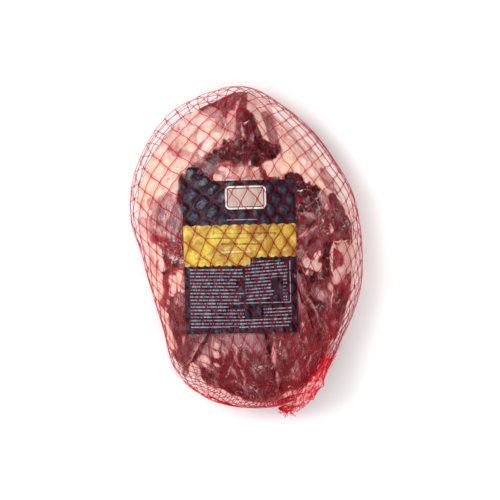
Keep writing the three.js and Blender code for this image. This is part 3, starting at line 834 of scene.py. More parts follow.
    ("dark heart of the edge muscle", 3.1, 0, 0.8, 0, (87, -38), (86, -51), (83, -60)),
    ("dark edge", 2.4, 0, 0.7, 0.05, (93, -45), (89, -62), (86, -76)),
    ("grey oval at the edge", 2.6, 0.3, 0.2, 0.95, (80, -64), (82, -67)),
    ("dark end of the folds", 3.1, 0, 0.85, 0.2, (65, -73), (66, -82)),
    # rims
    ("right rim of fat", 5.5, 1, 0, 0.3, (87, 61), (96, 43), (101, 14), (102, -11), (100, -33)),
    ("peach line of the rim", 1.9, 1, 0, 0,
     (80, 54), (89, 44), (95, 33), (100, 19), (100, -1), (100, -18)),
    ("shadow line by the rim", 1.3, 0, 0.6, 0.3, (91, 35), (96, 22), (98, 6)),
    ("pale rim of the cut face, right", 3.4, 0.95, 0, 0.1,
     (18, -139), (36, -136), (50, -130), (59, -122), (67, -110), (74, -97), (81, -84)),
    ("red rim by the knot", 4.2, 0.15, -0.1, 0.05, (-3, -139), (14, -141), (31, -139)),
    ("pale rim of the cut face", 3.2, 1, 0, 0.1, (-45, -116), (-34, -125), (-17, -133), (-4, -137)),
]
print(len(STROKES), "strokes")

# %% Painting with the strokes
TEAR, FINE_TEAR, STREAK_TEAR = 3.2, 1.8, 3.2
TEAR_SIZE, FINE_SIZE, STREAK_SIZE = 13, 4, 3
WALL_TEAR, UNDER_TEAR, UNDER_SIZE = 4.0, 26.0, 30.0
SOFT_SHARE, CRISP_MOST, SHADE_MOST = 0.6, 1.6, 4.5
SHADE_FAT, SHADE_DARK = 0.3, 0.6
TAPER_BELOW, TAPER = 3.5, 0.65
GROUND_DARK, GROUND_VEIL, GROUND_SPREAD, GROUND_SIZE = 0.15, 0.12, 0.3, 18
PATCH_LEAST, PATCH_FROM, PATCH_TO, PATCH_SIZE = 0.6, 0.3, 0.55, 5
UNDER_FROM, UNDER_TO, UNDER_DARK, UNDER_VEIL = 0.44, 0.56, 0.3, 0.2
FACES_UP = (-0.35, 0.05)


def painted(points, up):
    """Fat, dark and veil of each point. The top takes the strokes in order: each mixes its own
    amounts in by how far inside its torn edge the point lies. Its edge is soft by a share of its
    width: lean shades into lean, while fat and crust end crisply. On the wall the edges are torn
    more, and the underside takes noise."""
    shift = jitter(points, TEAR_SIZE, (11, 17), 2)
    small = jitter(points, FINE_SIZE, (23, 29), 2)
    streak = jitter(points * (1, 0.3, 1), STREAK_SIZE, (19,), 2)[:, 0]
    torn = (TEAR * shift + FINE_TEAR * small) * (1 + WALL_TEAR * (1 - up))[:, None]
    x, y = (points[..., :2] + torn).T
    y = y + STREAK_TEAR * streak
    start = rough_noise(points, GROUND_SIZE, 31)
    uneven = GROUND_SPREAD * (start - 0.5)
    patches = eased(rough_noise(points * (1, 0.5, 1), PATCH_SIZE, 43), PATCH_FROM, PATCH_TO)
    patchy = PATCH_LEAST + (1 - PATCH_LEAST) * patches
    amounts = np.stack([0 * start, GROUND_DARK + uneven, GROUND_VEIL + uneven])
    for _, wide, fat, dark, veil, *line in STROKES:
        shade = fat < SHADE_FAT and dark < SHADE_DARK
        soft = min(SOFT_SHARE * wide, SHADE_MOST if shade else CRISP_MOST)
        away, along = near_line(x, y, line)
        if wide < TAPER_BELOW:
            wide = wide * (1 - TAPER + TAPER * np.sin(math.pi * along))
        inside = (1 - eased(away - wide, -soft, soft)) * patchy
        amounts += inside * (np.array([fat, dark, veil])[:, None] - amounts)
    warp = np.concatenate([shift, small[:, :1]], -1)
    below = rough_noise(points + UNDER_TEAR * warp, UNDER_SIZE, 37, 4)
    under = np.stack([eased(below, UNDER_FROM, UNDER_TO), UNDER_DARK * start, UNDER_VEIL * start])
    return under + up * (amounts - under)


up = eased(ham_normals[:, 2], *FACES_UP)
fat, dark, veil = painted(ham_base, up)
print("share of fat on top", round(float(fat[up > 0.9].mean()), 2))

# %% [markdown]
# ## Shaping the meat
# Fat stands a little proud, dark meat shrinks as it dries, furrows run deep, and the crust is
# cracked. The cells of the net leave soft cushions where the net touches. Every part of this
# only lowers the surface from the inside of the film, so film and meat never cross.

# %% Meat surface
FILM_GAP, MEAT_PUFF, TOUCH_FADE = 0.35, 0.2, 1.8
CREASE_DROP, DARK_DROP, FAT_DROP = 0.75, 1.2, 0.25
CRACK_SIZE, CRACK_DEPTH, GRAIN_SIZE, GRAIN_DEPTH = 7.0, 3.0, 3.2, 0.5
CRUST_DARK, PRESSED_UP = (0.8, 0.97), (0.2, 0.9)


def net_touch(points):
    """One where the net lies on the body, fading to nothing as the gap below it grows."""
    gap = net_height(points[:, 0], points[:, 1]) - STRAND_RADIUS - NET_CLEARANCE - points[:, 2]
    return np.exp(-np.clip(gap, 0, None) / TOUCH_FADE)


def meat_offset(points, up):
    """How far the meat lies from the base, in mm: the cushions between the strands, minus the
    film gap, the furrows, the drop of each tissue, the cracks of the crust and a fine grain."""
    x, y = points[:, 0], points[:, 1]
    cushion = MEAT_PUFF * (1 - pressure_at(x, y)) * net_touch(points)
    crust = eased(dark, *CRUST_DARK)
    grain = GRAIN_DEPTH * folded_noise(points * (1, 0.35, 1), GRAIN_SIZE, 41, 2)
    cracks = CRACK_DEPTH * folded_noise(points, CRACK_SIZE, 47, 3) ** 2
    furrow = CREASE_DROP * crease_depth(x, y)
    tissue = DARK_DROP * dark + FAT_DROP * (1 - fat)
    return up * (cushion - furrow - tissue - crust * cracks) - FILM_GAP - grain


# How hard the net presses each upward face; the finish tints the meat red there, partly as painted
# strand shade.
ham_press = eased(ham_normals[:, 2], *PRESSED_UP) * pressure_at(ham_base[:, 0], ham_base[:, 1])
offset = meat_offset(ham_base, up)
ham_points = ham_base + ham_normals * offset[:, None]
print("meat lies", round(float(-offset.min()), 1), "mm below the base at most")

# %% [markdown]
# ## Making pieces and materials
# Two helpers save repetition. One turns points and faces into a finished piece that rides on the
# pack's single body. The other builds a material's nodes: each call adds one node, feeds its
# inputs from values or other nodes, and hands back its output.

# %% Helpers for pieces


def put(name, data):
    """An object that carries the data, linked to the scene at the origin."""
    made = bpy.data.objects.new(name, data)
    bpy.context.scene.collection.objects.link(made)
    return made


def make_piece(name, points, faces, material, amounts=None):
    """A smooth mesh from points in mm and lists of corners, with named amounts per point."""
    mesh = bpy.data.meshes.new(name)
    mesh.from_pydata((points * MM).tolist(), [], [f for group in faces for f in group.tolist()])
    mesh.polygons.foreach_set("use_smooth", np.ones(len(mesh.polygons), bool))
    for label, values in (amounts or {}).items():
        layer = mesh.attributes.new(label, "FLOAT", "POINT")
        layer.data.foreach_set("value", np.asarray(values, np.float32))
    mesh.update()
    piece = put(name, mesh)
    mesh.materials.append(material)
    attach(piece, "root")
    print(name, "has", sum(len(p.vertices) - 2 for p in mesh.polygons), "triangles")
    return piece


def colour(red, green, blue):
    """A display colour from 0 to 255 as the linear colour that a shader takes."""
    part = np.array([red, green, blue]) / 255
    linear = np.where(part <= 0.04045, part / 12.92, ((part + 0.055) / 1.055) ** 2.4)
    return (*linear.tolist(), 1.0)


# %% Helpers for materials


class Finish:
    """A material whose nodes are added one call at a time."""

    def __init__(self, name):
        self.material = bpy.data.materials.new(name)
        self.material.use_nodes = True
        self.tree = self.material.node_tree
        self.tree.nodes.clear()

    def node(self, kind, inputs=None, settings=None, output=0):
        """Adds a node, sets it up and returns one of its outputs."""
        made = self.tree.nodes.new("ShaderNode" + kind)
        for key, value in (settings or {}).items():
            setattr(made, key, value)
        for key, value in (inputs or {}).items():
            if isinstance(value, bpy.types.NodeSocket):
                self.tree.links.new(value, made.inputs[key])
            else:
                made.inputs[key].default_value = value
        return made.outputs[output]

    def math(self, operation, a, b=0.0):
        """Arithmetic on one or two numbers."""
        return self.node("Math", {0: a, 1: b}, {"operation": operation})

    def times(self, a, b):
        """The product of two amounts."""
        return self.math("MULTIPLY", a, b)

    def from_middle(self, noise):
        """How far noise is from its middle value: nothing along thin winding lines."""
        return self.math("ABSOLUTE", self.math("SUBTRACT", noise, 0.5))

    def total(self, first, *terms):
        """A sum of amounts, each with its own weight."""
        for value, weight in terms:
            first = self.node("Math", {0: value, 1: weight, 2: first}, {"operation": "MULTIPLY_ADD"})
        return first

    def step(self, value, low, high, start=0.0, end=1.0):
        """A smooth step from start to end as the value goes from low to high."""
        return self.node("MapRange", {0: value, 1: low, 2: high, 3: start, 4: end},
                         {"interpolation_type": "SMOOTHSTEP"})

    def inside(self, value, low, high):
        """One between two values and nothing outside them."""
        above, below = self.math("GREATER_THAN", value, low), self.math("LESS_THAN", value, high)
        return self.times(above, below)

    def mix(self, share, a, b, blend="MIX"):
        """One colour over another."""
        return self.node("Mix", {0: share, 6: a, 7: b}, {"data_type": "RGBA", "blend_type": blend}, 2)

    def amount(self, name):
        """An amount that the mesh carries."""
        return self.node("Attribute", settings={"attribute_name": name}, output=2)

    def place(self, scale=(1, 1, 1), turn=0.0):
        """The point's place in the piece, in metres, stretched and turned about the vertical."""
        at = self.node("TexCoord", output=3)
        return self.node("Mapping", {"Vector": at, "Rotation": (0, 0, turn), "Scale": scale})

    def noise(self, size, detail=3.0, place=None, rough=0.55, bend=0.0):
        """Cloudy noise whose blobs are about that many mm across."""
        return self.node("TexNoise", {"Vector": place or self.place(), "Scale": 1 / (size * MM),
                                      "Detail": detail, "Roughness": rough, "Distortion": bend})

    def bump(self, strength, deep, height):
        """Relief that many mm deep."""
        return self.node("Bump", {"Strength": strength, "Distance": deep * MM, "Height": height})

    def done(self, shader):
        """Feeds the finished shader to the surface and returns the material."""
        out = self.tree.nodes.new("ShaderNodeOutputMaterial")
        self.tree.links.new(shader, out.inputs["Surface"])
        return self.material


# %% [markdown]
# ## The look of the meat
# Lean is burgundy with long fibres, darker where it has dried, with fine pale marbling along the
# fibres. Fat is cream with rosy clouds. Thin winding lines, partly the meat's own, stand for
# wrinkles in the film: pale on the lean as painted highlights, grey on the fat as painted shade.
# The three painted amounts choose between them, and noise a few millimetres across breaks their
# edges, so that they stay crisp at any distance.

# %% Meat finish
LEAN, LEAN_DEEP = colour(146, 42, 52), colour(84, 18, 26)
LEAN_DRY_AND_REFLECTION, LEAN_BRIGHT = colour(116, 84, 80), colour(178, 34, 50)
CRUST, CRUST_EDGE, MEMBRANE = colour(58, 10, 16), colour(158, 74, 82), colour(206, 160, 158)
# The veil colours are the grey of film standing off the meat, partly a painted reflection of the film.
VEIL, VEIL_DEEP = colour(200, 158, 156), colour(128, 88, 94)
CREAM, PALE_FAT = colour(234, 206, 180), colour(238, 211, 202)
ROSY, GREY_FAT = colour(220, 154, 146), colour(196, 170, 162)
# Red mixed in where strands press, partly a painted red shade of the strands.
PRESSED_AND_RED_SHADE = (0.9, 0.4, 0.42, 1.0)
FIBRES = (1.0, 0.13, 1.0)


def lean_colour(f, tone):
    """Burgundy with darker patches and drier grey-brown ones, fewer under the strands, partly a
    painted reflection of film lifted in the net's cells; crust where it is darkest; pale threads
    along the fibres, with painted highlights of film wrinkles; and a grey veil where the film
    stands off, partly its painted reflection."""
    dark, veil = f.amount("dark"), f.amount("veil")
    shade = f.total(dark, (tone["blotches"], 1.2), (tone["fibres"], 0.9))
    lean = f.mix(f.step(shade, 0.6, 0.95), LEAN_BRIGHT, LEAN)
    lean = f.mix(f.step(shade, 0.8, 1.6), lean, LEAN_DEEP)
    # Drier grey-brown patches at random, fewer under the strands: partly a painted reflection of film
    # lifted in the cells.
    dry = f.total(tone["mottle"], (tone["clouds"], 0.3), (f.amount("press"), -0.12))
    lean = f.mix(f.step(dry, 0.55, 0.7, 0.0, 0.8), lean, LEAN_DRY_AND_REFLECTION)
    darkest = f.total(dark, (tone["flecks"], 0.3), (tone["clouds"], 0.3))
    lean = f.mix(f.step(darkest, 1.02, 1.2), lean, CRUST)
    pale = f.times(tone["threads"], f.step(dark, 0.3, 0.9, 0.8, 0.3))
    lean = f.mix(pale, lean, MEMBRANE)
    crackle = f.times(tone["cracks"], f.step(dark, 0.85, 1.0, 0.0, 0.7))
    lean = f.mix(crackle, lean, CRUST_EDGE)
    # The grey veil: partly a painted reflection of film that stands off the meat.
    grey = f.mix(f.step(f.total(tone["fibres"], (tone["blotches"], 0.8)), 0.75, 1.05), VEIL, VEIL_DEEP)
    thin = f.total(veil, (tone["fibres"], 0.5), (tone["blotches"], 0.6), (tone["flecks"], 0.3))
    return f.mix(f.step(thin, 0.85, 1.35, 0.0, 0.85), lean, grey)


def fat_colour(f, tone):
    """Cream here, whiter there, with rosy clouds, grey mottling, fine wrinkle lines that are partly
    painted shade of film wrinkles, and grey where the film veils it, partly a painted reflection.
    """
    fat = f.mix(f.step(f.noise(16, 2.0), 0.42, 0.58), CREAM, PALE_FAT)
    fat = f.mix(f.step(f.total(tone["clouds"], (tone["flecks"], 0.5)), 0.76, 1.02, 0.0, 0.8), fat, ROSY)
    grey = f.step(f.total(tone["mottle"], (tone["flecks"], 0.4)), 0.66, 0.86, 0.0, 0.6)
    fat = f.mix(grey, fat, GREY_FAT)
    # Wrinkle lines in the fat: partly painted shade of film wrinkles.
    fat = f.mix(f.times(tone["wrinkles"], 0.4), fat, GREY_FAT)
    # Grey where the film veils the fat, partly a painted reflection.
    thin = f.total(f.amount("veil"), (tone["flecks"], 0.8), (tone["clouds"], 0.4))
    return f.mix(f.step(thin, 0.7, 1.3, 0.0, 0.95), fat, GREY_FAT)


def meat_finish():
    """Lean and fat mixed by the painted amounts, redder where a strand presses, partly a painted red
    shade of the strand, with a bump from the same fibres."""
    f = Finish("cured_meat")
    tone = {
        "clouds": f.noise(9, 4.0),
        "flecks": f.noise(2.6, 4.0),
        "fibres": f.noise(1.2, 4.0, f.place(FIBRES, 0.1), bend=0.6),
        "blotches": f.noise(5.5, 5.0, f.place((1, 0.5, 1), 0.15), bend=1.0),
        "mottle": f.noise(3.6, 3.0, f.place((1, 0.45, 1), -0.15), bend=0.5),
    }
    # Thin winding lines for film wrinkles, partly the meat's own: painted shade on the fat, painted
    # highlight on the lean.
    crease = f.from_middle(f.noise(7, 3.0, f.place((1, 0.6, 1), 0.3), bend=1.2))
    seen = f.step(f.noise(14, 2.0), 0.45, 0.6)
    tone["wrinkles"] = f.times(f.step(crease, 0.0, 0.02, 1.0, 0.0), seen)
    crack = f.from_middle(f.noise(4, 2.0, bend=1.5))
    tone["cracks"] = f.step(crack, 0.0, 0.04, 1.0, 0.0)
    # Pale threads: marbling along the fibres, plus the wrinkles' painted highlights.
    along = f.step(tone["fibres"], 0.6, 0.74)
    tone["threads"] = f.total(f.times(tone["wrinkles"], 0.9), (along, 0.5))
    edge = f.total(f.amount("fat"), (tone["flecks"], 0.6), (tone["clouds"], 0.4))
    fat = f.mix(f.step(edge, 0.95, 1.35), ROSY, fat_colour(f, tone))
    meat = f.mix(f.step(edge, 0.65, 1.3), lean_colour(f, tone), fat)
    # Redder where a strand presses: partly pressure, partly the strand's painted red shade.
    meat = f.mix(f.times(f.amount("press"), 0.28), meat, PRESSED_AND_RED_SHADE, "MULTIPLY")
    height = f.total(f.times(tone["fibres"], 0.6), (tone["flecks"], 0.5), (tone["threads"], 0.3))
    bump = f.bump(0.6, 0.7, height)
    return f.done(f.node("BsdfPrincipled", {
        "Base Color": meat, "Roughness": 0.5, "Specular IOR Level": 0.2, "Normal": bump}))


ham = make_piece("ham", ham_points, [ham_quads, ham_fan], meat_finish(),
                 {"fat": fat, "dark": dark, "veil": veil, "press": ham_press})
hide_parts("netted_ham")

# %% [markdown]
# ## The clear film
# The bag is shrunk on to the meat. It bridges the furrows, so it shows there as a glassy skin
# over the dark, and it gathers in long sharp folds where there was too much of it. Along the
# right edge and the foot it is welded flat and stands off as a pleated fin. Along the upper right
# rim a milky band is painted on it: painted light that lifts the rim, which leans away from the
# lamp. It is its own closed surface just outside the meat, with the same grid, pulled out at the
# rim.

# %% Film surface
FOLDS = [
    ("beside the label", [(44, -20), (57, -41), (68, -64), (75, -82)], 1.5, 0.98),
    ("beside it", [(48, -17), (54, -31), (64, -47), (73, -62)], 1.3, 0.65),
    ("next to that", [(42, -32), (51, -53), (62, -73), (66, -87)], 1.3, 0.59),
    ("across the tail", [(-38, -79), (-50, -97), (-62, -112)], 1.4, 0.5),
    ("across the tail, right", [(-30, -75), (-42, -93), (-55, -107)], 1.3, 0.4),
    ("below the label", [(-25, -73), (-18, -80), (-12, -86)], 1.5, 0.4),
    ("over the right fat", [(14, 140), (35, 116), (49, 96), (67, 74)], 1.5, 0.59),
    ("over the right fat, inner", [(24, 127), (40, 101), (57, 79)], 1.3, 0.45),
    ("over the shoulder", [(66, 85), (79, 55), (91, 33)], 1.3, 0.45),
    ("at the label's corner", [(-53, 55), (-49, 66), (-42, 73)], 1.6, 0.6),
    ("at the label's corner, inner", [(-48, 52), (-42, 61), (-34, 66)], 1.3, 0.4),
    ("across the flank", [(-66, 41), (-61, 32), (-55, 21)], 1.2, 0.65),
    ("in the left hollow", [(-70, 10), (-59, 6), (-57, -5)], 1.3, 0.78),
    ("across the left hollow", [(-73, -3), (-64, -11), (-55, -12)], 1.3, 0.65),
    ("arc at the right", [(69, 56), (67, 48), (63, 43), (56, 38)], 1.2, 0.91),
    ("olive line", [(47, 34), (57, 32), (66, 34)], 1.2, 0.65),
    ("across the shoulder", [(69, 31), (80, 30), (93, 29)], 1.2, 0.59),
    ("right of the arc", [(73, 50), (75, 39), (73, 32)], 1.4, 0.78),
    ("slanted", [(64, 23), (57, 18), (48, 11)], 1.3, 0.72),
    ("over the oval", [(43, -4), (49, 0), (57, -3)], 1.2, 0.65),
    ("across the white fat", [(49, -11), (60, -7), (71, 4)], 1.2, 0.52),
    ("right middle", [(66, -30), (75, -23), (84, -11)], 1.2, 0.52),
    ("right low", [(64, -36), (71, -42), (77, -54)], 1.3, 0.65),
    ("on the cut face, left", [(-13, -86), (-7, -101), (-2, -117), (-2, -129)], 1.3, 0.39),
    ("on the cut face, right", [(67, -90), (58, -100), (57, -113)], 1.2, 0.39),
]
LOOSE = [
    ("label's corner", [(-58, 66), (-46, 70), (-34, 70)], 7, 0.4),
    ("right of the label", [(54, 55), (67, 42), (75, 23)], 13, 1.0),
    ("left hollow", [(-68, 10), (-57, -11)], 9, 0.8),
    ("right middle", [(49, -11), (66, -27), (73, -54)], 13, 0.9),
]
# Milky bands painted on the film. The one along the upper right rim is painted light: it lifts a rim
# that leans away from the lamp.
LIGHTER_BANDS = [
    ("along the upper right rim",
     [(31, 127), (47, 115), (60, 102), (75, 83), (85, 67), (92, 48)], 8.5, 1.0),
    ("along the left rim", [(-97, 72), (-100, 55), (-99, 38)], 4.0, 0.3),
]
FINS = [(330.0, 42.0, 5.5), (255.0, 30.0, 4.5)]
FIN_TALL, RIM_WAVE, PLEAT_LIFT = 7.0, 5.0, 0.35
FOLD_MILK, FOLD_BEND, FOLD_BEND_SIZE = 0.42, 5, 16
PLEAT_RADIUS, PLEAT_SIZE = 120.0, 6.0
FILM_PUFF, WRINKLE, CRUMPLE = 0.3, 0.5, 1.2
FILM_CELLS, FILM_BED = 240, 1.15
LABEL_WIDTH, LABEL_LENGTH = 102.0, 138.0
LABEL_AT, LABEL_TURN = (-5.4, -5.6), math.radians(1.4)
UNDER_LABEL, LABEL_MARGIN = 1.0, 3


def label_place(x, y):
    """Where a point is on the label: across and up from its middle, in mm."""
    c, s = math.cos(LABEL_TURN), math.sin(LABEL_TURN)
    return (x - LABEL_AT[0]) * c + (y - LABEL_AT[1]) * s, (y - LABEL_AT[1]) * c - (x - LABEL_AT[0]) * s


def fold_height(points):
    """Height of the folds, and how slack the film is round them. A fold is a narrow bell of
    the distance to its line, which noise bends a little."""
    x, y = (points[:, :2] + FOLD_BEND * jitter(points, FOLD_BEND_SIZE, (53, 59))).T
    height, slack = np.zeros(len(points)), np.zeros(len(points))
    for _, line, wide, high in FOLDS:
        away = line_distance(x, y, line)
        height = np.maximum(height, high * bell(away, wide))
        crest = bell(away, 0.9 * wide) * high
        slack = np.maximum(slack, FOLD_MILK * crest * (0.4 + 1.2 * cube_noise(points, 9, 57)))
    return height, slack


def fin_width(angle):
    """How far the welded edge stands off the meat: two wide bells with flat tops, at the right
    and below."""
    degrees = np.degrees(angle) % 360
    width = np.full_like(degrees, 0.3)
    for at, half, wide in FINS:
        width = width + wide * bell(np.abs((degrees - at + 180) % 360 - 180), half, 4)
    return width


film_base, film_quads, film_fan = body_grid(FILM_CELLS, FILM_BED, (NOTCH,))
film_normals = normals_of(film_base, film_quads)
film_up = eased(film_normals[:, 2], *FACES_UP)
folds, slack = fold_height(film_base)
ridges = folded_noise(film_base * (1, 0.6, 1), 9, 61, 2) ** 3
film_x, film_y = film_base[:, 0], film_base[:, 1]
loose = along_lines(film_x, film_y, LOOSE)
folds = folds + CRUMPLE * loose * folded_noise(film_base, 7, 63, 3) ** 2
puff = FILM_PUFF * (1 - pressure_at(film_x, film_y)) * net_touch(film_base)
across, down = label_place(film_x, film_y)
covered = (eased(LABEL_WIDTH / 2 - np.abs(across), 0, LABEL_MARGIN)
           * eased(LABEL_LENGTH / 2 - np.abs(down), 0, LABEL_MARGIN) * (1 - np.clip(loose, 0, 1)))
offset = film_up * (puff + folds - UNDER_LABEL * covered) + WRINKLE * ridges
film_points = film_base + film_normals * offset[:, None]
around = np.arctan2(film_y, film_x)
near_rim = np.clip(1 - np.abs(film_base[:, 2] - rim_height(around)) / FIN_TALL, 0, 1) ** 2
near_rim = near_rim * (np.hypot(film_x, film_y) > 0.9 * ham_radius(around))
arc = np.stack([around * PLEAT_RADIUS, film_base[:, 2] * 0.3, np.zeros_like(around)], -1)
pleats = folded_noise(arc, PLEAT_SIZE, 67, 3)
out = near_rim * fin_width(around) * (0.7 + 0.5 * pleats)
film_points[:, 0] += out * np.cos(around)
film_points[:, 1] += out * np.sin(around)
film_points[:, 2] += near_rim * RIM_WAVE * (cube_noise(film_base, 14, 71) - 0.5)
film_points[:, 2] += PLEAT_LIFT * out * (pleats - 0.5)
# Milky bands; along the upper right rim this is painted light.
lighter_bands = along_lines(film_x, film_y, LIGHTER_BANDS, 4) * film_up * (0.6 + 0.8 * rough_noise(film_base, 9, 73))
slack = np.clip(slack + lighter_bands + near_rim * eased(out, 0.8, 2.5) * (0.28 + 0.71 * pleats), 0, 1.2)
print("film stands off the rim by up to", round(float(out.max()), 1), "mm")

# %% [markdown]
# Clear film is seen by its gloss alone. A Fresnel share of a mirror-like shader lies over a
# transparent one. Film that clings to the moist meat hardly mirrors anything, so its share is
# small; where the film is loose it is larger. Where it is slack a little white is mixed in too,
# because doubled and welded film looks milky; along the upper right rim that white is painted
# light. Thin white lines, where a noise is near its middle value, are painted glints: the pinches
# in which the film catches the light.

# %% Film finish
FILM_IOR, FILM_ROUGHNESS, GLOSS_MOST, TIGHT_SHARE = 1.5, 0.14, 0.12, 0.3
MILK_AND_GLINT = colour(255, 248, 246)
GLINT_WIDTH, GLINT_WHITE = 0.011, 0.6


def film_finish():
    """Transparent, with gloss by the viewing angle, milkiness by the slack, and painted glints."""
    f = Finish("clear_film")
    bump = f.bump(0.35, 0.5, f.noise(4, 3.0, bend=0.8))
    gloss = f.node("BsdfPrincipled", {"Base Color": (1, 1, 1, 1), "Metallic": 1.0,
                                      "Roughness": FILM_ROUGHNESS, "Normal": bump})
    clear = f.node("BsdfTransparent", {"Color": (1, 1, 1, 1)})
    edge = f.node("Fresnel", {"IOR": FILM_IOR, "Normal": bump})
    free = f.step(f.amount("loose"), 0.0, 1.0, TIGHT_SHARE, 1.0)
    share = f.times(f.math("MINIMUM", edge, GLOSS_MOST), free)
    sheet = f.node("MixShader", {0: share, 1: clear, 2: gloss})
    milk_and_glint = f.node("BsdfPrincipled", {"Base Color": MILK_AND_GLINT, "Roughness": 0.3})
    haze = f.step(f.total(f.amount("slack"), (f.noise(3.5, 3.0), 0.5)), 0.4, 1.6, 0.0, 0.72)
    # Painted glints: thin white lines of the milk shader where a noise is near its middle value.
    middle = f.from_middle(f.noise(11, 1.5, bend=1.2))
    seen = f.step(f.total(f.noise(11, 1.0), (f.amount("loose"), 0.08)), 0.5, 0.64, 0.0, GLINT_WHITE)
    painted_glints = f.times(f.step(middle, 0.0, GLINT_WIDTH, 1.0, 0.0), seen)
    return f.done(f.node("MixShader", {0: f.math("MAXIMUM", haze, painted_glints), 1: sheet, 2: milk_and_glint}))


make_piece("film", film_points, [film_quads, film_fan], film_finish(),
           {"slack": slack, "loose": np.clip(loose + slack - lighter_bands, 0, 1)})

# %% [markdown]
# ## The label
# A thin printed sheet lies on the film under the net. The net presses it, so it puffs up in every
# cell, and one long diagonal tuck shortens it on the right. It is a grid over the label's width
# and length, laid on the net's inside, with a little thickness from Solidify.

# %% Label surface
LABEL_COLUMNS, LABEL_ROWS, SHEET_THICK = 140, 190, 0.25
LABEL_PUFF, LABEL_DROP = 0.2, 0.25
TUCK = [(8, 2), (2, -26), (-8, -52), (-20, -76)]
CREASES_ON_LABEL = [
    ([(-58, 40), (-30, 26), (-14, 36)], 1.3, 0.7),
    ([(-56, 12), (-34, 20), (-20, 8)], 1.2, 0.6),
    ([(18, 58), (30, 40), (46, 32)], 1.3, 0.6),
    ([(10, -8), (28, -4), (46, -9)], 1.2, 0.5),
    ([(-52, -8), (-34, -3), (-12, -9)], 1.1, 0.4),
    ([(12, -30), (22, -44), (24, -64)], 1.3, 0.6),
]
FLAP_RISE, FLAP_LEFT, FLAP_RIGHT = 12.0, (-50, -45), (-33, -24)
TUCK_RISE, TUCK_SLOPE, TUCK_DIP, TUCK_BACK = 2.2, 6, 0.8, 1.5
SHEET_CRUMPLES = [(1.3, 13, 79), (0.8, 6, 83)]  # height, size and seed
SINKS = 0.35


def label_sheet():
    """Points and print coordinates: across and down in mm, turned and moved to its place. The
    height is the net's, less a strand, plus the puff, the folds and a fine crumple."""
    across, down = np.meshgrid(np.linspace(-0.5, 0.5, LABEL_COLUMNS + 1) * LABEL_WIDTH,
                               np.linspace(0, 1, LABEL_ROWS + 1))
    flap = FLAP_RISE * eased(across, *FLAP_LEFT) * (1 - eased(across, *FLAP_RIGHT))
    ragged = cube_noise(np.stack([across, down * 3, down], -1), 5, 73) - 0.5
    drop = down * LABEL_LENGTH - flap * (1 - down) ** 6 * (1 + 0.6 * ragged)
    c, s = math.cos(LABEL_TURN), math.sin(LABEL_TURN)
    upward = LABEL_LENGTH / 2 - drop
    x = LABEL_AT[0] + across * c - upward * s
    y = LABEL_AT[1] + across * s + upward * c
    flat = np.stack([x, y, np.zeros_like(x)], -1)
    crumple = sum(high * folded_noise(flat, size, seed) for high, size, seed in SHEET_CRUMPLES)
    folds = along_lines(x, y, CREASES_ON_LABEL)
    tuck = x - np.interp(-y, [-ty for _, ty in TUCK], [tx for tx, _ in TUCK])
    opened = eased(TUCK[0][1] - y, 0, 6)
    crest, dip = TUCK_RISE * np.exp(-tuck / TUCK_SLOPE), -TUCK_DIP * np.exp(tuck / TUCK_BACK)
    fold_up = opened * np.where(tuck > 0, crest, dip)
    press = pressure_at(x, y)
    puffed = LABEL_PUFF * (0.5 + cube_noise(flat, 14, 85)) * (1 - press) ** 0.8
    z = net_height(x, y) - STRAND_RADIUS - LABEL_DROP + puffed
    z = z + (1 - 0.8 * press) * crumple + (1 - press) * folds + fold_up * (1 - 0.6 * press)
    z = z - SINKS * crease_depth(x, y)
    return np.stack([x, y, z], -1), across, drop, 1 - press


label_points, print_across, print_down, cushion = label_sheet()
label_points = label_points.reshape(-1, 3)
index = np.arange(len(label_points)).reshape(LABEL_ROWS + 1, LABEL_COLUMNS + 1)
label_quads = [index[:-1, :-1], index[1:, :-1], index[1:, 1:], index[:-1, 1:]]
label_quads = np.stack(label_quads, -1).reshape(-1, 4)
print("label is at", label_points.min(0).round(1), label_points.max(0).round(1))

# %% [markdown]
# The print is fields of flat colour: navy, a gold band with scalloped edges, one plain plaque,
# thin rules, and rows of small light bars where a pack has its small print. It is worked out
# from the sheet's own coordinates, so it bends with every cushion and fold. Painted light and
# shade lie over it: the navy is lighter at random and, as painted light, in the middle of each
# cushion; a painted sheen lies on facets at the upper left, painted crease shadows run between
# them, painted glints brighten the gold, and painted strand shadows turn the gold brown under
# the strands.

# %% Label finish
# The lighter navy is partly painted light on the cushions and the sheen is painted; the pale gold is
# painted glints, the crease gold painted shade in creases and under strands.
NAVY, NAVY_SOFT, NAVY_SHEEN = colour(13, 9, 24), colour(46, 41, 59), colour(140, 130, 140)
GOLD, GOLD_DEEP, GOLD_GLINT = colour(220, 188, 62), colour(174, 130, 38), colour(240, 218, 120)
GOLD_SHADE = colour(128, 84, 30)
PAPER, INK, SMALL_PRINT = colour(222, 210, 200), colour(70, 50, 44), colour(170, 158, 172)
PLAQUE_FIELD = colour(186, 160, 150)
BAND_TOP, BAND_LEFT, BAND_RIGHT, BAND_STEP = 41.0, 76.0, 68.8, 9.0
PLAQUE_AT, PLAQUE_HALF, PLAQUE_CORNER = (6.1, 15.6), (18.5, 10.5), 4.0
ROW_PITCH = 3.05
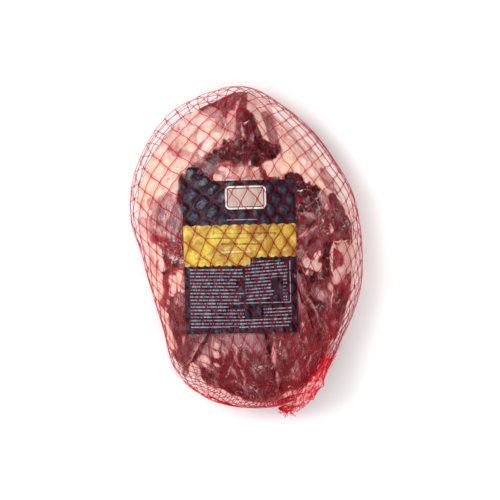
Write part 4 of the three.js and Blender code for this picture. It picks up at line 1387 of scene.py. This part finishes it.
# Lines of dashes: left, right, top and bottom, slope, pitch, height and gaps as shares, the most
# that a row stops short, and the ink. Rules: left, right, top and bottom.
PRINT_LINES = [
    ((-31, 33, 47.5, 52.5), -0.02, 5.0, 0.3, 0.45, 0.0, INK),
    ((-17, 20, 55.0, 60.0), -0.02, 5.0, 0.28, 0.45, 0.0, INK),
    ((-17, 10, 62.5, 65.5), 0.0, 3.0, 0.4, 0.45, 0.0, PAPER),
    ((-46, 3, 79, 134), -0.02, ROW_PITCH, 0.36, 0.46, 18.0, SMALL_PRINT),
    ((4, 42.5, 73, 88), 0.06, ROW_PITCH, 0.34, 0.44, 4.0, SMALL_PRINT),
    ((4, 30, 88, 109), 0.06, ROW_PITCH, 0.34, 0.45, 8.0, SMALL_PRINT),
    ((38, 42.5, 88, 109), 0.06, ROW_PITCH, 0.3, 0.47, 3.0, SMALL_PRINT),
    ((20, 45, 114, 123), 0.03, ROW_PITCH, 0.34, 0.44, 2.0, SMALL_PRINT),
    ((-3, 45, 125, 134), 0.02, ROW_PITCH, 0.34, 0.44, 3.0, SMALL_PRINT),
]
RULES = [(-11, 16, 35.2, 36.0), (44.2, 44.9, 73, 111), (-2, 44.9, 110.6, 111.3), (-46, -4, 131.6, 132.1)]


class LabelPrint(Finish):
    """The print's own shapes, all from the two print coordinates in mm."""

    def __init__(self, name):
        super().__init__(name)
        uv = self.node("UVMap", settings={"uv_map": "print"})
        parts = self.tree.nodes.new("ShaderNodeSeparateXYZ")
        self.tree.links.new(uv, parts.inputs[0])
        self.across = self.total(-LABEL_WIDTH / 2, (parts.outputs[0], LABEL_WIDTH))
        self.down = self.total(LABEL_LENGTH, (parts.outputs[1], -LABEL_LENGTH))

    def box(self, left, right, top, bottom):
        """One inside a rectangle."""
        return self.times(self.inside(self.across, left, right), self.inside(self.down, top, bottom))

    def scallop(self, pitch, deep):
        """A row of round bumps: the depth times the size of a sine along the sheet."""
        wave = self.math("ABSOLUTE", self.math("SINE", self.times(self.across, math.pi / pitch)))
        return self.times(wave, deep)

    def bars(self, box, slope, pitch, tall, gaps, ragged):
        """Rows of dashes in a box: a row is the middle part of each pitch, noise that changes
        from row to row cuts it into dashes, and each row stops short by a random length."""
        left, right, top, bottom = box
        line = self.math("DIVIDE", self.total(self.down, (self.across, slope)), pitch)
        row = self.math("FLOOR", line)
        inside = self.inside(self.math("FRACT", line), 0.5 - tall / 2, 0.5 + tall / 2)
        spot = self.node("CombineXYZ", {0: self.across, 1: self.times(row, 17.3)})
        cut = self.node("TexNoise", {"Vector": spot, "Scale": 1.3, "Detail": 2.0, "Roughness": 0.7})
        dash = self.step(cut, gaps - 0.05, gaps + 0.05)
        chance = self.node("TexWhiteNoise", {"W": row}, {"noise_dimensions": "1D"})
        short = self.times(self.math("POWER", chance, 2.0), ragged)
        stop = self.math("LESS_THAN", self.total(self.across, (short, 1.0)), right)
        area = self.times(self.box(left, right, top, bottom), stop)
        return self.times(self.times(inside, dash), area)

    def plaque(self):
        """How far inside a rectangle with round corners: positive inside."""
        past = []
        for value, at, half in zip((self.across, self.down), PLAQUE_AT, PLAQUE_HALF):
            away = self.math("ABSOLUTE", self.math("SUBTRACT", value, at))
            past.append(self.math("MAXIMUM", self.math("SUBTRACT", away, half - PLAQUE_CORNER), 0.0))
        square = self.total(self.times(past[0], past[0]), (past[1], past[1]))
        return self.math("SUBTRACT", PLAQUE_CORNER, self.math("SQRT", square))


def label_finish():
    """Lays the fields over each other in the order of a printer's plates, with painted
    sheen, glints and shadows among them.
    """
    p = LabelPrint("label_print")
    clouds, cushion_high = p.noise(16, 2.0), p.amount("cushion")
    # Lighter navy at random, and towards each cushion's middle as painted light.
    sheet = p.mix(p.step(p.total(clouds, (cushion_high, 0.25)), 0.4, 0.9), NAVY, NAVY_SOFT)
    # Painted sheen on facets at the upper left, where the lamp is.
    left = p.times(p.step(p.down, 5, 45, 0.45, 0.0), p.step(p.across, -10, 35, 1.0, 0.3))
    facets = p.step(p.total(p.noise(6, 2.0, bend=1.4), (cushion_high, 0.22)), 0.66, 0.82)
    painted_sheen = p.times(facets, left)
    sheet = p.mix(painted_sheen, sheet, NAVY_SHEEN)
    # Painted crease shadows: thin dark lines where a noise is near its middle.
    middle = p.from_middle(p.noise(9, 2.0, bend=1.6))
    sheet = p.mix(p.step(middle, 0.01, 0.04, 0.8, 0.0), sheet, NAVY)
    bottom = p.total(p.step(p.across, BAND_STEP - 0.5, BAND_STEP + 0.5, BAND_LEFT, BAND_RIGHT),
                     (p.scallop(6.4, 1.3), 1.0))
    top = p.math("SUBTRACT", BAND_TOP, p.scallop(8.6, 1.3))
    band = p.times(p.math("GREATER_THAN", p.down, top), p.math("LESS_THAN", p.down, bottom))
    tone = p.total(p.step(clouds, 0.4, 0.65), (p.step(p.across, BAND_STEP - 0.5, BAND_STEP + 0.5), 0.5))
    # Painted glints on the gold.
    pale = p.step(p.noise(7, 1.0, bend=0.5), 0.55, 0.65, 0.0, 0.4)
    foil = p.mix(pale, p.mix(tone, GOLD, GOLD_DEEP), GOLD_GLINT)
    # Painted shade in the gold's creases and under the strands.
    foil = p.mix(p.step(middle, 0.005, 0.03, 0.6, 0.0), foil, GOLD_SHADE)
    foil = p.mix(p.step(cushion_high, 0.0, 0.4, 0.4, 0.0), foil, GOLD_SHADE)
    sheet = p.mix(band, sheet, foil)
    for box, slope, pitch, tall, gaps, ragged, ink in PRINT_LINES:
        shown = p.bars(box, slope, pitch, tall, gaps, ragged)
        sheet = p.mix(p.times(shown, 0.85), sheet, ink)
    for rule in RULES:
        sheet = p.mix(p.times(p.box(*rule), 0.8), sheet, SMALL_PRINT)
    deep = p.plaque()
    sheet = p.mix(p.math("GREATER_THAN", deep, 0.0), sheet, PAPER)
    sheet = p.mix(p.math("GREATER_THAN", deep, 1.6), sheet, NAVY)
    sheet = p.mix(p.math("GREATER_THAN", deep, 2.4), sheet, PLAQUE_FIELD)
    crumple = p.total(p.noise(2.2, 3.0), (p.noise(6, 3.0, bend=1.5), 1.5))
    bump = p.bump(0.7, 0.7, crumple)
    return p.done(p.node("BsdfPrincipled", {
        "Base Color": sheet, "Roughness": 0.36, "Specular IOR Level": 0.45, "Normal": bump}))


label = make_piece("label_sheet", label_points, [label_quads], label_finish(),
                   {"cushion": cushion.ravel()})
layer = label.data.uv_layers.new(name="print")
corners = np.empty(len(label.data.loops), np.int32)
label.data.loops.foreach_get("vertex_index", corners)
uv = np.stack([print_across.ravel() / LABEL_WIDTH + 0.5, 1 - print_down.ravel() / LABEL_LENGTH], -1)
layer.data.foreach_set("uv", uv[corners].astype(np.float32).ravel())
wall = label.modifiers.new("thickness", "SOLIDIFY")
wall.thickness = SHEET_THICK * MM
wall.offset = -1
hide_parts("label")

# %% [markdown]
# ## Net strands
# Each path becomes a thin tube: at every point a small six-sided ring, a little wider than it is
# tall and thicker at the joints, stands across the path. The net plastic is glossy and lets some
# light through, so a strand looks orange over the gold and crimson over the navy. Close to the
# knot the strands are drawn together, and cover more of what lies below; there they are painted
# a brighter red, painted light that offsets the shade among the crowded strands.

# %% Tubes
SIDES, WIDER, FLATTER = 6, 1.1, 0.9


def tube_faces(strands, rings, sides):
    """The quads round each tube, and a cap at either end."""
    index = np.arange(strands * rings * sides).reshape(strands, rings, sides)
    after = np.roll(index, -1, axis=2)
    quads = np.stack([index[:, :-1], after[:, :-1], after[:, 1:], index[:, 1:]], -1).reshape(-1, 4)
    return quads, np.concatenate([index[:, 0, ::-1], index[:, -1]])


def tubes(path, radius, outward):
    """Rings across each path: one axis is square to the path and to the outward direction, the
    other is square to both. Returns the points, the quads and the end caps."""
    strands, count, _ = path.shape
    ahead = unit(np.gradient(path, axis=1))
    side = unit(np.cross(ahead, outward))
    over = np.cross(side, ahead)
    turn = (np.arange(SIDES) * TURN / SIDES)[:, None]
    ring = np.cos(turn) * WIDER * side[:, :, None] + np.sin(turn) * FLATTER * over[:, :, None]
    points = path[:, :, None] + radius[..., None, None] * ring
    return (points.reshape(-1, 3), *tube_faces(strands, count, SIDES))


def strand_width(path, near, radius, seed):
    """The radius along a strand: thinner in the middle, thicker at a joint, uneven by noise."""
    return radius * (0.9 + 0.35 * near ** 6 + 0.25 * (cube_noise(path, 6, seed) - 0.5))


# %% Net finish
NET_RED, NET_DEEP, NET_GLOW = colour(220, 28, 70), colour(190, 16, 56), colour(240, 144, 142)
# The tail's colours are a lighter copy of the net's plastic: painted light for the shade among its
# crowded strands.
TAIL_RED, TAIL_DEEP, TAIL_GLOW = colour(252, 46, 82), colour(226, 22, 58), colour(250, 186, 188)
NET_LIT, TAIL_LIT = colour(255, 80, 90), colour(255, 120, 134)
# Brighter red towards the knot, painted light for the shade among the gathered strands.
KNOT_LIT_RED = colour(244, 24, 66)
NET_COVER, KNOT_COVER, TAIL_COVER, LET_THROUGH = 0.33, 0.75, 0.42, 0.35
GATHER_NEAR, GATHER_FAR, WOBBLE_SIZE, NET_LOWEST = 10, 48, 7, 0.05
OUTWARD_SHAPE = np.array([1.0, 1.0, 0.3])


def net_finish(name, bright, deep, lit, glow, cover, at_knot):
    """Glossy red plastic, partly lit from behind, mixed with a tinted transparent shader. The
    cover grows where the strands are drawn to the knot, and there the red is painted brighter,
    as painted light."""
    f = Finish(name)
    tone = f.mix(f.step(f.noise(5, 2.0), 0.35, 0.65), bright, deep)
    tone = f.mix(f.amount("gathered"), tone, KNOT_LIT_RED)
    solid = f.node("BsdfPrincipled", {"Base Color": tone, "Roughness": 0.38})
    through = f.node("BsdfTranslucent", {"Color": lit})
    body = f.node("MixShader", {0: LET_THROUGH, 1: solid, 2: through})
    clear = f.node("BsdfTransparent", {"Color": glow})
    share = f.step(f.amount("gathered"), 0.0, 1.0, cover, at_knot)
    return f.done(f.node("MixShader", {0: share, 1: clear, 2: body}))


NET_PLASTIC = net_finish("net_plastic", NET_RED, NET_DEEP, NET_LIT, NET_GLOW,
                         NET_COVER, KNOT_COVER)
TAIL_PLASTIC = net_finish("tail_plastic", TAIL_RED, TAIL_DEEP, TAIL_LIT, TAIL_GLOW,
                          TAIL_COVER, TAIL_COVER)
for hand, path in zip(("right", "left"), paths):
    path = on_envelope(path + jitter(path, WOBBLE_SIZE, (89, 97, 101)))
    outward = (path - CENTRE) / OUTWARD_SHAPE
    points, quads, caps = tubes(path, strand_width(path, nearness, STRAND_RADIUS, 103), outward)
    points[:, 2] = np.maximum(points[:, 2], NET_LOWEST)
    away = np.linalg.norm(points - KNOT, axis=-1)
    make_piece("net_" + hand, points, [quads, caps], NET_PLASTIC,
               {"gathered": 1 - eased(away, GATHER_NEAR, GATHER_FAR)})

# %% [markdown]
# ## The gathered tail and the knot
# Past the knot the spare end of the net lies crumpled along the lower right edge. It is the same
# diamond net, wound as two narrow sleeves round a bent line, one inside the other, with long
# drawn-out diamonds, deep pleats and loose joints. The knot is a few turns of strand pulled
# tight, with frayed ends.

# %% Tail
TAIL_STOPS = np.array([
    (29, -142, 13, 1.5), (34, -142, 16, 5.0), (41, -139, 23, 7.2), (48, -134.5, 31, 8.0),
    (55, -128, 39, 8.2), (62, -118.5, 44, 7.6), (68, -107, 46, 6.4), (73, -96, 46, 4.4)])
TAIL_CELLS, TAIL_LEVELS, TAIL_LOOSE = 17, 15, 0.75
TAIL_FLATNESS, TAIL_STRAND, TAIL_LOWEST = 0.55, 0.31, 0.4
PLEAT_DEEP, PLEAT_WAVES, PLEAT_TWIST = 0.2, 5, 7


def along_stops(stops, share):
    """A smooth open curve through the stops, by the same cubic as the outlines."""
    place = share * (len(stops) - 1)
    first = np.clip(np.floor(place).astype(int), 0, len(stops) - 2)
    near = (stops[np.clip(first + k, 0, len(stops) - 1)] for k in (-1, 0, 1, 2))
    return cubic(*near, (place - first)[..., None])


def sleeve(share, turn, scale):
    """Points of a sleeve round the bent line: a flattened ring square to the line, whose radius
    is the line's own times the scale, pleated by a sine of five waves."""
    line = along_stops(TAIL_STOPS, share)
    ahead = unit(np.gradient(line[:, :3], axis=0))
    side = unit(np.cross(ahead, (0, 0, 1)))
    over = TAIL_FLATNESS * np.cross(side, ahead)
    pleats = PLEAT_DEEP * np.sin(PLEAT_WAVES * turn + PLEAT_TWIST * share[:, None])
    radius = scale * line[:, 3:4] * (1 + pleats)
    ring = np.cos(turn)[..., None] * side[:, None] + np.sin(turn)[..., None] * over[:, None]
    return line[:, None, :3] + radius[..., None] * ring, line[:, 3:4, None]


def tail_net(scale, twist, seed):
    """Joints of a net sleeve: twisted along the tail, each moved at random."""
    share = np.linspace(0.02, 0.98, TAIL_LEVELS + 1)
    half = (np.arange(TAIL_LEVELS + 1) % 2)[:, None] / 2
    turn = TURN * (np.arange(TAIL_CELLS)[None, :] + half) / TAIL_CELLS + twist * share[:, None]
    ring, wide = sleeve(share, turn, scale)
    return ring + np.random.default_rng(seed).normal(0, TAIL_LOOSE, ring.shape) * np.minimum(wide / 5, 1)


def strand_piece(name, path, radius, outward):
    """Tubes of the tail's plastic along the paths, all of them clear of the table."""
    points, quads, caps = tubes(path, radius, outward)
    points[:, 2] = np.maximum(points[:, 2], TAIL_LOWEST)
    make_piece(name, points, [quads, caps], TAIL_PLASTIC)


for name, scale, twist, seed in (("tail_outer", 0.98, 2.5, 5), ("tail_inner", 0.8, -3.5, 6)):
    joints_of_tail = tail_net(scale, twist, seed)
    families, near = strand_paths(joints_of_tail, TAIL_CELLS)
    path = np.concatenate(families)
    outward = path - joints_of_tail.mean(axis=(0, 1))
    strand_piece(name, path, strand_width(path, near, TAIL_STRAND, 107), outward)

# %% [markdown]
# The bag's own spare end is drawn into the same tail: thin film, pleated and crumpled inside the
# net. So much film on film looks white, which makes the tail paler than the rest of the net; its
# strands are also a lighter copy of the net plastic, painted light for the shade among them.

# %% Film in the tail
TAIL_FILM_RINGS, TAIL_FILM_SIDES, TAIL_FILM_SCALE = 90, 72, 0.72
TAIL_FILM_WHITE = colour(246, 200, 200)


def tail_film():
    """The same sleeve, smaller and closed at both ends, with sharp random pleats."""
    share = np.linspace(0, 1, TAIL_FILM_RINGS)
    turn = np.broadcast_to(TURN * np.arange(TAIL_FILM_SIDES) / TAIL_FILM_SIDES,
                           (TAIL_FILM_RINGS, TAIL_FILM_SIDES))
    points, _ = sleeve(share, turn, TAIL_FILM_SCALE * np.sin(share * math.pi)[:, None] ** 0.3)
    middle = points.mean(axis=1, keepdims=True)
    pleats = 0.75 + 0.6 * folded_noise(points, 5, 109, 3) ** 2
    points = middle + (points - middle) * pleats[..., None]
    return (points.reshape(-1, 3), *tube_faces(1, TAIL_FILM_RINGS, TAIL_FILM_SIDES))


def tail_film_finish():
    """Milky plastic, glossy on its pleats, that lets a third of the light by."""
    f = Finish("crumpled_film")
    bump = f.bump(0.8, 0.8, f.noise(2.5, 4.0, bend=1.0))
    white = f.node("BsdfPrincipled", {"Base Color": TAIL_FILM_WHITE, "Roughness": 0.3, "Normal": bump})
    clear = f.node("BsdfTransparent", {"Color": TAIL_FILM_WHITE})
    return f.done(f.node("MixShader", {0: 0.8, 1: clear, 2: white}))


points, quads, caps = tail_film()
make_piece("tail_film", points, [quads, caps], tail_film_finish())

# %% Knot and frayed ends
KNOT_AT = np.array([38.5, -144.5, 12.0])
KNOT_STRANDS, KNOT_POINTS, KNOT_SEED, KNOT_AHEAD = 9, 40, 11, np.array([0.87, 0.35, 0.34])
FRAYED, FRAY_POINTS, FRAY_SEED = 22, 9, 13


def knot_turns():
    """Strands wound round the neck: each is a circle that wanders in and out and along, at
    random, one and a half times round."""
    rng = np.random.default_rng(KNOT_SEED)
    each = (KNOT_STRANDS, 1)
    turn = np.linspace(0, 3 * math.pi, KNOT_POINTS)[None, :] + rng.uniform(0, TURN, each)
    radius = 3.4 + 0.7 * np.sin(2 * turn + rng.uniform(0, TURN, each))
    slide = 2.2 * np.sin(turn * 0.7 + rng.uniform(0, TURN, each)) + rng.uniform(-1.5, 1.5, each)
    side = unit(np.cross(KNOT_AHEAD, (0, 0, 1)))
    over = np.cross(side, KNOT_AHEAD)
    circle = np.cos(turn)[..., None] * side + np.sin(turn)[..., None] * over
    return KNOT_AT + radius[..., None] * circle + slide[..., None] * KNOT_AHEAD


def frayed_ends():
    """Cut ends that spread from the knot: each starts inside it and bends away on a curve."""
    rng = np.random.default_rng(FRAY_SEED)
    part = np.linspace(0, 1, FRAY_POINTS)[None, :, None]
    heading = np.radians(rng.uniform(185, 300, (FRAYED, 1, 1)))
    length = rng.uniform(3, 7, (FRAYED, 1, 1))
    lift = rng.uniform(-0.5, 0.6, (FRAYED, 1, 1))
    way = np.concatenate([np.cos(heading), np.sin(heading), lift], -1)
    curl = rng.normal(0, 2.2, (FRAYED, 1, 3))
    start = KNOT_AT + rng.normal(0, 1.5, (FRAYED, 1, 3))
    return start + way * length * part + curl * part ** 2


for name, path, radius in (("knot", knot_turns(), 0.5), ("frayed_ends", frayed_ends(), 0.34)):
    outward = path - KNOT_AT + np.array([0.0, 0.0, 0.01])
    strand_piece(name, path, np.full(path.shape[:2], radius), outward)

# %% [markdown]
# ## The gathered edge
# Along the lower rim the net was pulled towards the knot from both sides. On the left thirty
# strands lie there as one loose rope, spread out where it starts and wound round each other. On
# the right a wider band of crumpled strands lies over the rim, with the welded film showing white
# between them.

# %% Gathered edge
# Name, start and sweep in degrees, strands, spread, flatness, how far in, wander, latest start.
GATHER_STRAND, GATHER_POINTS, GATHER_SEED = 0.42, 70, 17
GATHERS = [
    ("gathered_edge_left", 242, 42, 30, 3.6, 0.55, -0.8, 0.0, 0.85),
    ("gathered_edge_right", 314, -30, 60, 7.0, 1.0, -7.0, 1.2, 0.45),
]


def gathered(start, sweep, count, wide, flat, inset, wander, latest):
    """Each strand runs round the rim by its angle; a circle that shrinks along the way and turns
    as it goes sets it aside, so that the strands wind round each other."""
    rng = np.random.default_rng(GATHER_SEED)
    part = np.linspace(0, 1, GATHER_POINTS)[None, :]
    late = latest * rng.uniform(0, 1, (count, 1)) ** 0.6
    part = late + (1 - late) * part
    angle = np.radians(start + sweep * part)
    spread = 0.9 + wide * (1 - part) ** 1.2 * np.sin(np.clip(part * 4 + 0.3, 0, math.pi / 2))
    turn = rng.uniform(0, TURN, (count, 1)) + rng.uniform(3, 7, (count, 1)) * part
    away = net_radius(angle) + inset * (1 - part) ** 0.5 + flat * spread * np.cos(turn)
    height = rim_height(angle) * (1 - part ** 2) + KNOT_AT[2] * part ** 2 + spread * np.sin(turn)
    path = np.stack([away * np.cos(angle), away * np.sin(angle), height], -1)
    loose = jitter(path, 4, (113, 127, 131))
    path = path + 6 * wander * loose * (1 - part ** 3)[..., None]
    outer = on_envelope(path)
    lies = (np.linalg.norm(path - CENTRE, axis=-1) < np.linalg.norm(outer - CENTRE, axis=-1))[..., None]
    return np.where(lies, outer + 0.8 * (outer - CENTRE) / 100, path)


for name, *where in GATHERS:
    path = gathered(*where)
    strand_piece(name, path, np.full(path.shape[:2], GATHER_STRAND), path - CENTRE)

# %% [markdown]
# ## Table, light and camera
# The pack lies on a white table in an even white room, with one large soft lamp at the upper
# left and a weak one opposite. The room is darker straight above, where the camera hangs, so
# the label's navy stays deep. The camera looks straight down through a long lens.

# %% Table
TABLE_HALF = 3000.0


def table_top():
    """A white sheet under the pack."""
    mesh = bpy.data.meshes.new("table")
    corners = np.array([(-1, -1, 0), (1, -1, 0), (1, 1, 0), (-1, 1, 0)]) * TABLE_HALF * MM
    mesh.from_pydata(corners.tolist(), [], [(0, 1, 2, 3)])
    floor = put("table", mesh)
    f = Finish("white_table")
    mesh.materials.append(f.done(f.node("BsdfPrincipled", {
        "Base Color": (0.93, 0.93, 0.93, 1), "Roughness": 0.9, "Specular IOR Level": 0.1})))


table_top()

# %% Room and lamps
ROOM_STRENGTH, ZENITH_STRENGTH, DIM_FROM, DIM_FULL = 1.2, 0.3, 0.84, 0.98
# Name, azimuth and elevation in degrees, distance and size in mm, power in watts.
LAMPS = [
    ("main_lamp", 160, 55, 1700, 680, 9),
    ("weak_lamp", -75, 50, 1900, 1000, 5),
    ("wide_panel", 160, 66, 1800, 1300, 7),
]


def white_room():
    """Even white light from every side, dimmed in a cone straight above. Gloss mirrors only the
    lamps and panels, as through a polarising filter."""
    world = bpy.data.worlds.new("white_room")
    world.use_nodes = True
    tree = world.node_tree
    tree.nodes.clear()
    way = tree.nodes.new("ShaderNodeTexCoord")
    parts = tree.nodes.new("ShaderNodeSeparateXYZ")
    dim = tree.nodes.new("ShaderNodeMapRange")
    dim.interpolation_type = "SMOOTHSTEP"
    for slot, value in zip((1, 2, 3, 4), (DIM_FROM, DIM_FULL, ROOM_STRENGTH, ZENITH_STRENGTH)):
        dim.inputs[slot].default_value = value
    light = tree.nodes.new("ShaderNodeBackground")
    out = tree.nodes.new("ShaderNodeOutputWorld")
    tree.links.new(way.outputs["Generated"], parts.inputs[0])
    tree.links.new(parts.outputs["Z"], dim.inputs[0])
    tree.links.new(dim.outputs[0], light.inputs["Strength"])
    tree.links.new(light.outputs[0], out.inputs["Surface"])
    world.cycles_visibility.glossy = False
    bpy.context.scene.world = world


def soft_lamp(name, azimuth, elevation, away, size, power):
    """A square lamp at a compass angle and a height angle, facing the pack."""
    lamp = bpy.data.lights.new(name, "AREA")
    lamp.size = size * MM
    lamp.energy = power
    a, e = math.radians(azimuth), math.radians(elevation)
    back = np.array([math.cos(a) * math.cos(e), math.sin(a) * math.cos(e), math.sin(e)])
    holder = put(name, lamp)
    holder.location = (back * away * MM).tolist()
    holder.rotation_mode = "QUATERNION"
    holder.rotation_quaternion = (-Vector(back.tolist())).to_track_quat("-Z", "Y")


white_room()
for lamp in LAMPS:
    soft_lamp(*lamp)
print(len(LAMPS), "lamps")

# %% Camera
VIEW_SIZE, VIEW_CENTRE, CAMERA_AWAY, SENSOR = 457.5, (3.4, 0.5), 3000.0, 36.0

lens = bpy.data.cameras.new("overhead")
lens.sensor_width = SENSOR
lens.lens = SENSOR * CAMERA_AWAY / VIEW_SIZE
lens.clip_start = 0.05
lens.clip_end = 20.0
camera = put("overhead", lens)
camera.location = (VIEW_CENTRE[0] * MM, VIEW_CENTRE[1] * MM, (CAMERA_AWAY + RIM_HEIGHT) * MM)
bpy.context.scene.camera = camera
bpy.context.scene.view_settings.view_transform = "Standard"
print("lens of", round(lens.lens), "mm")
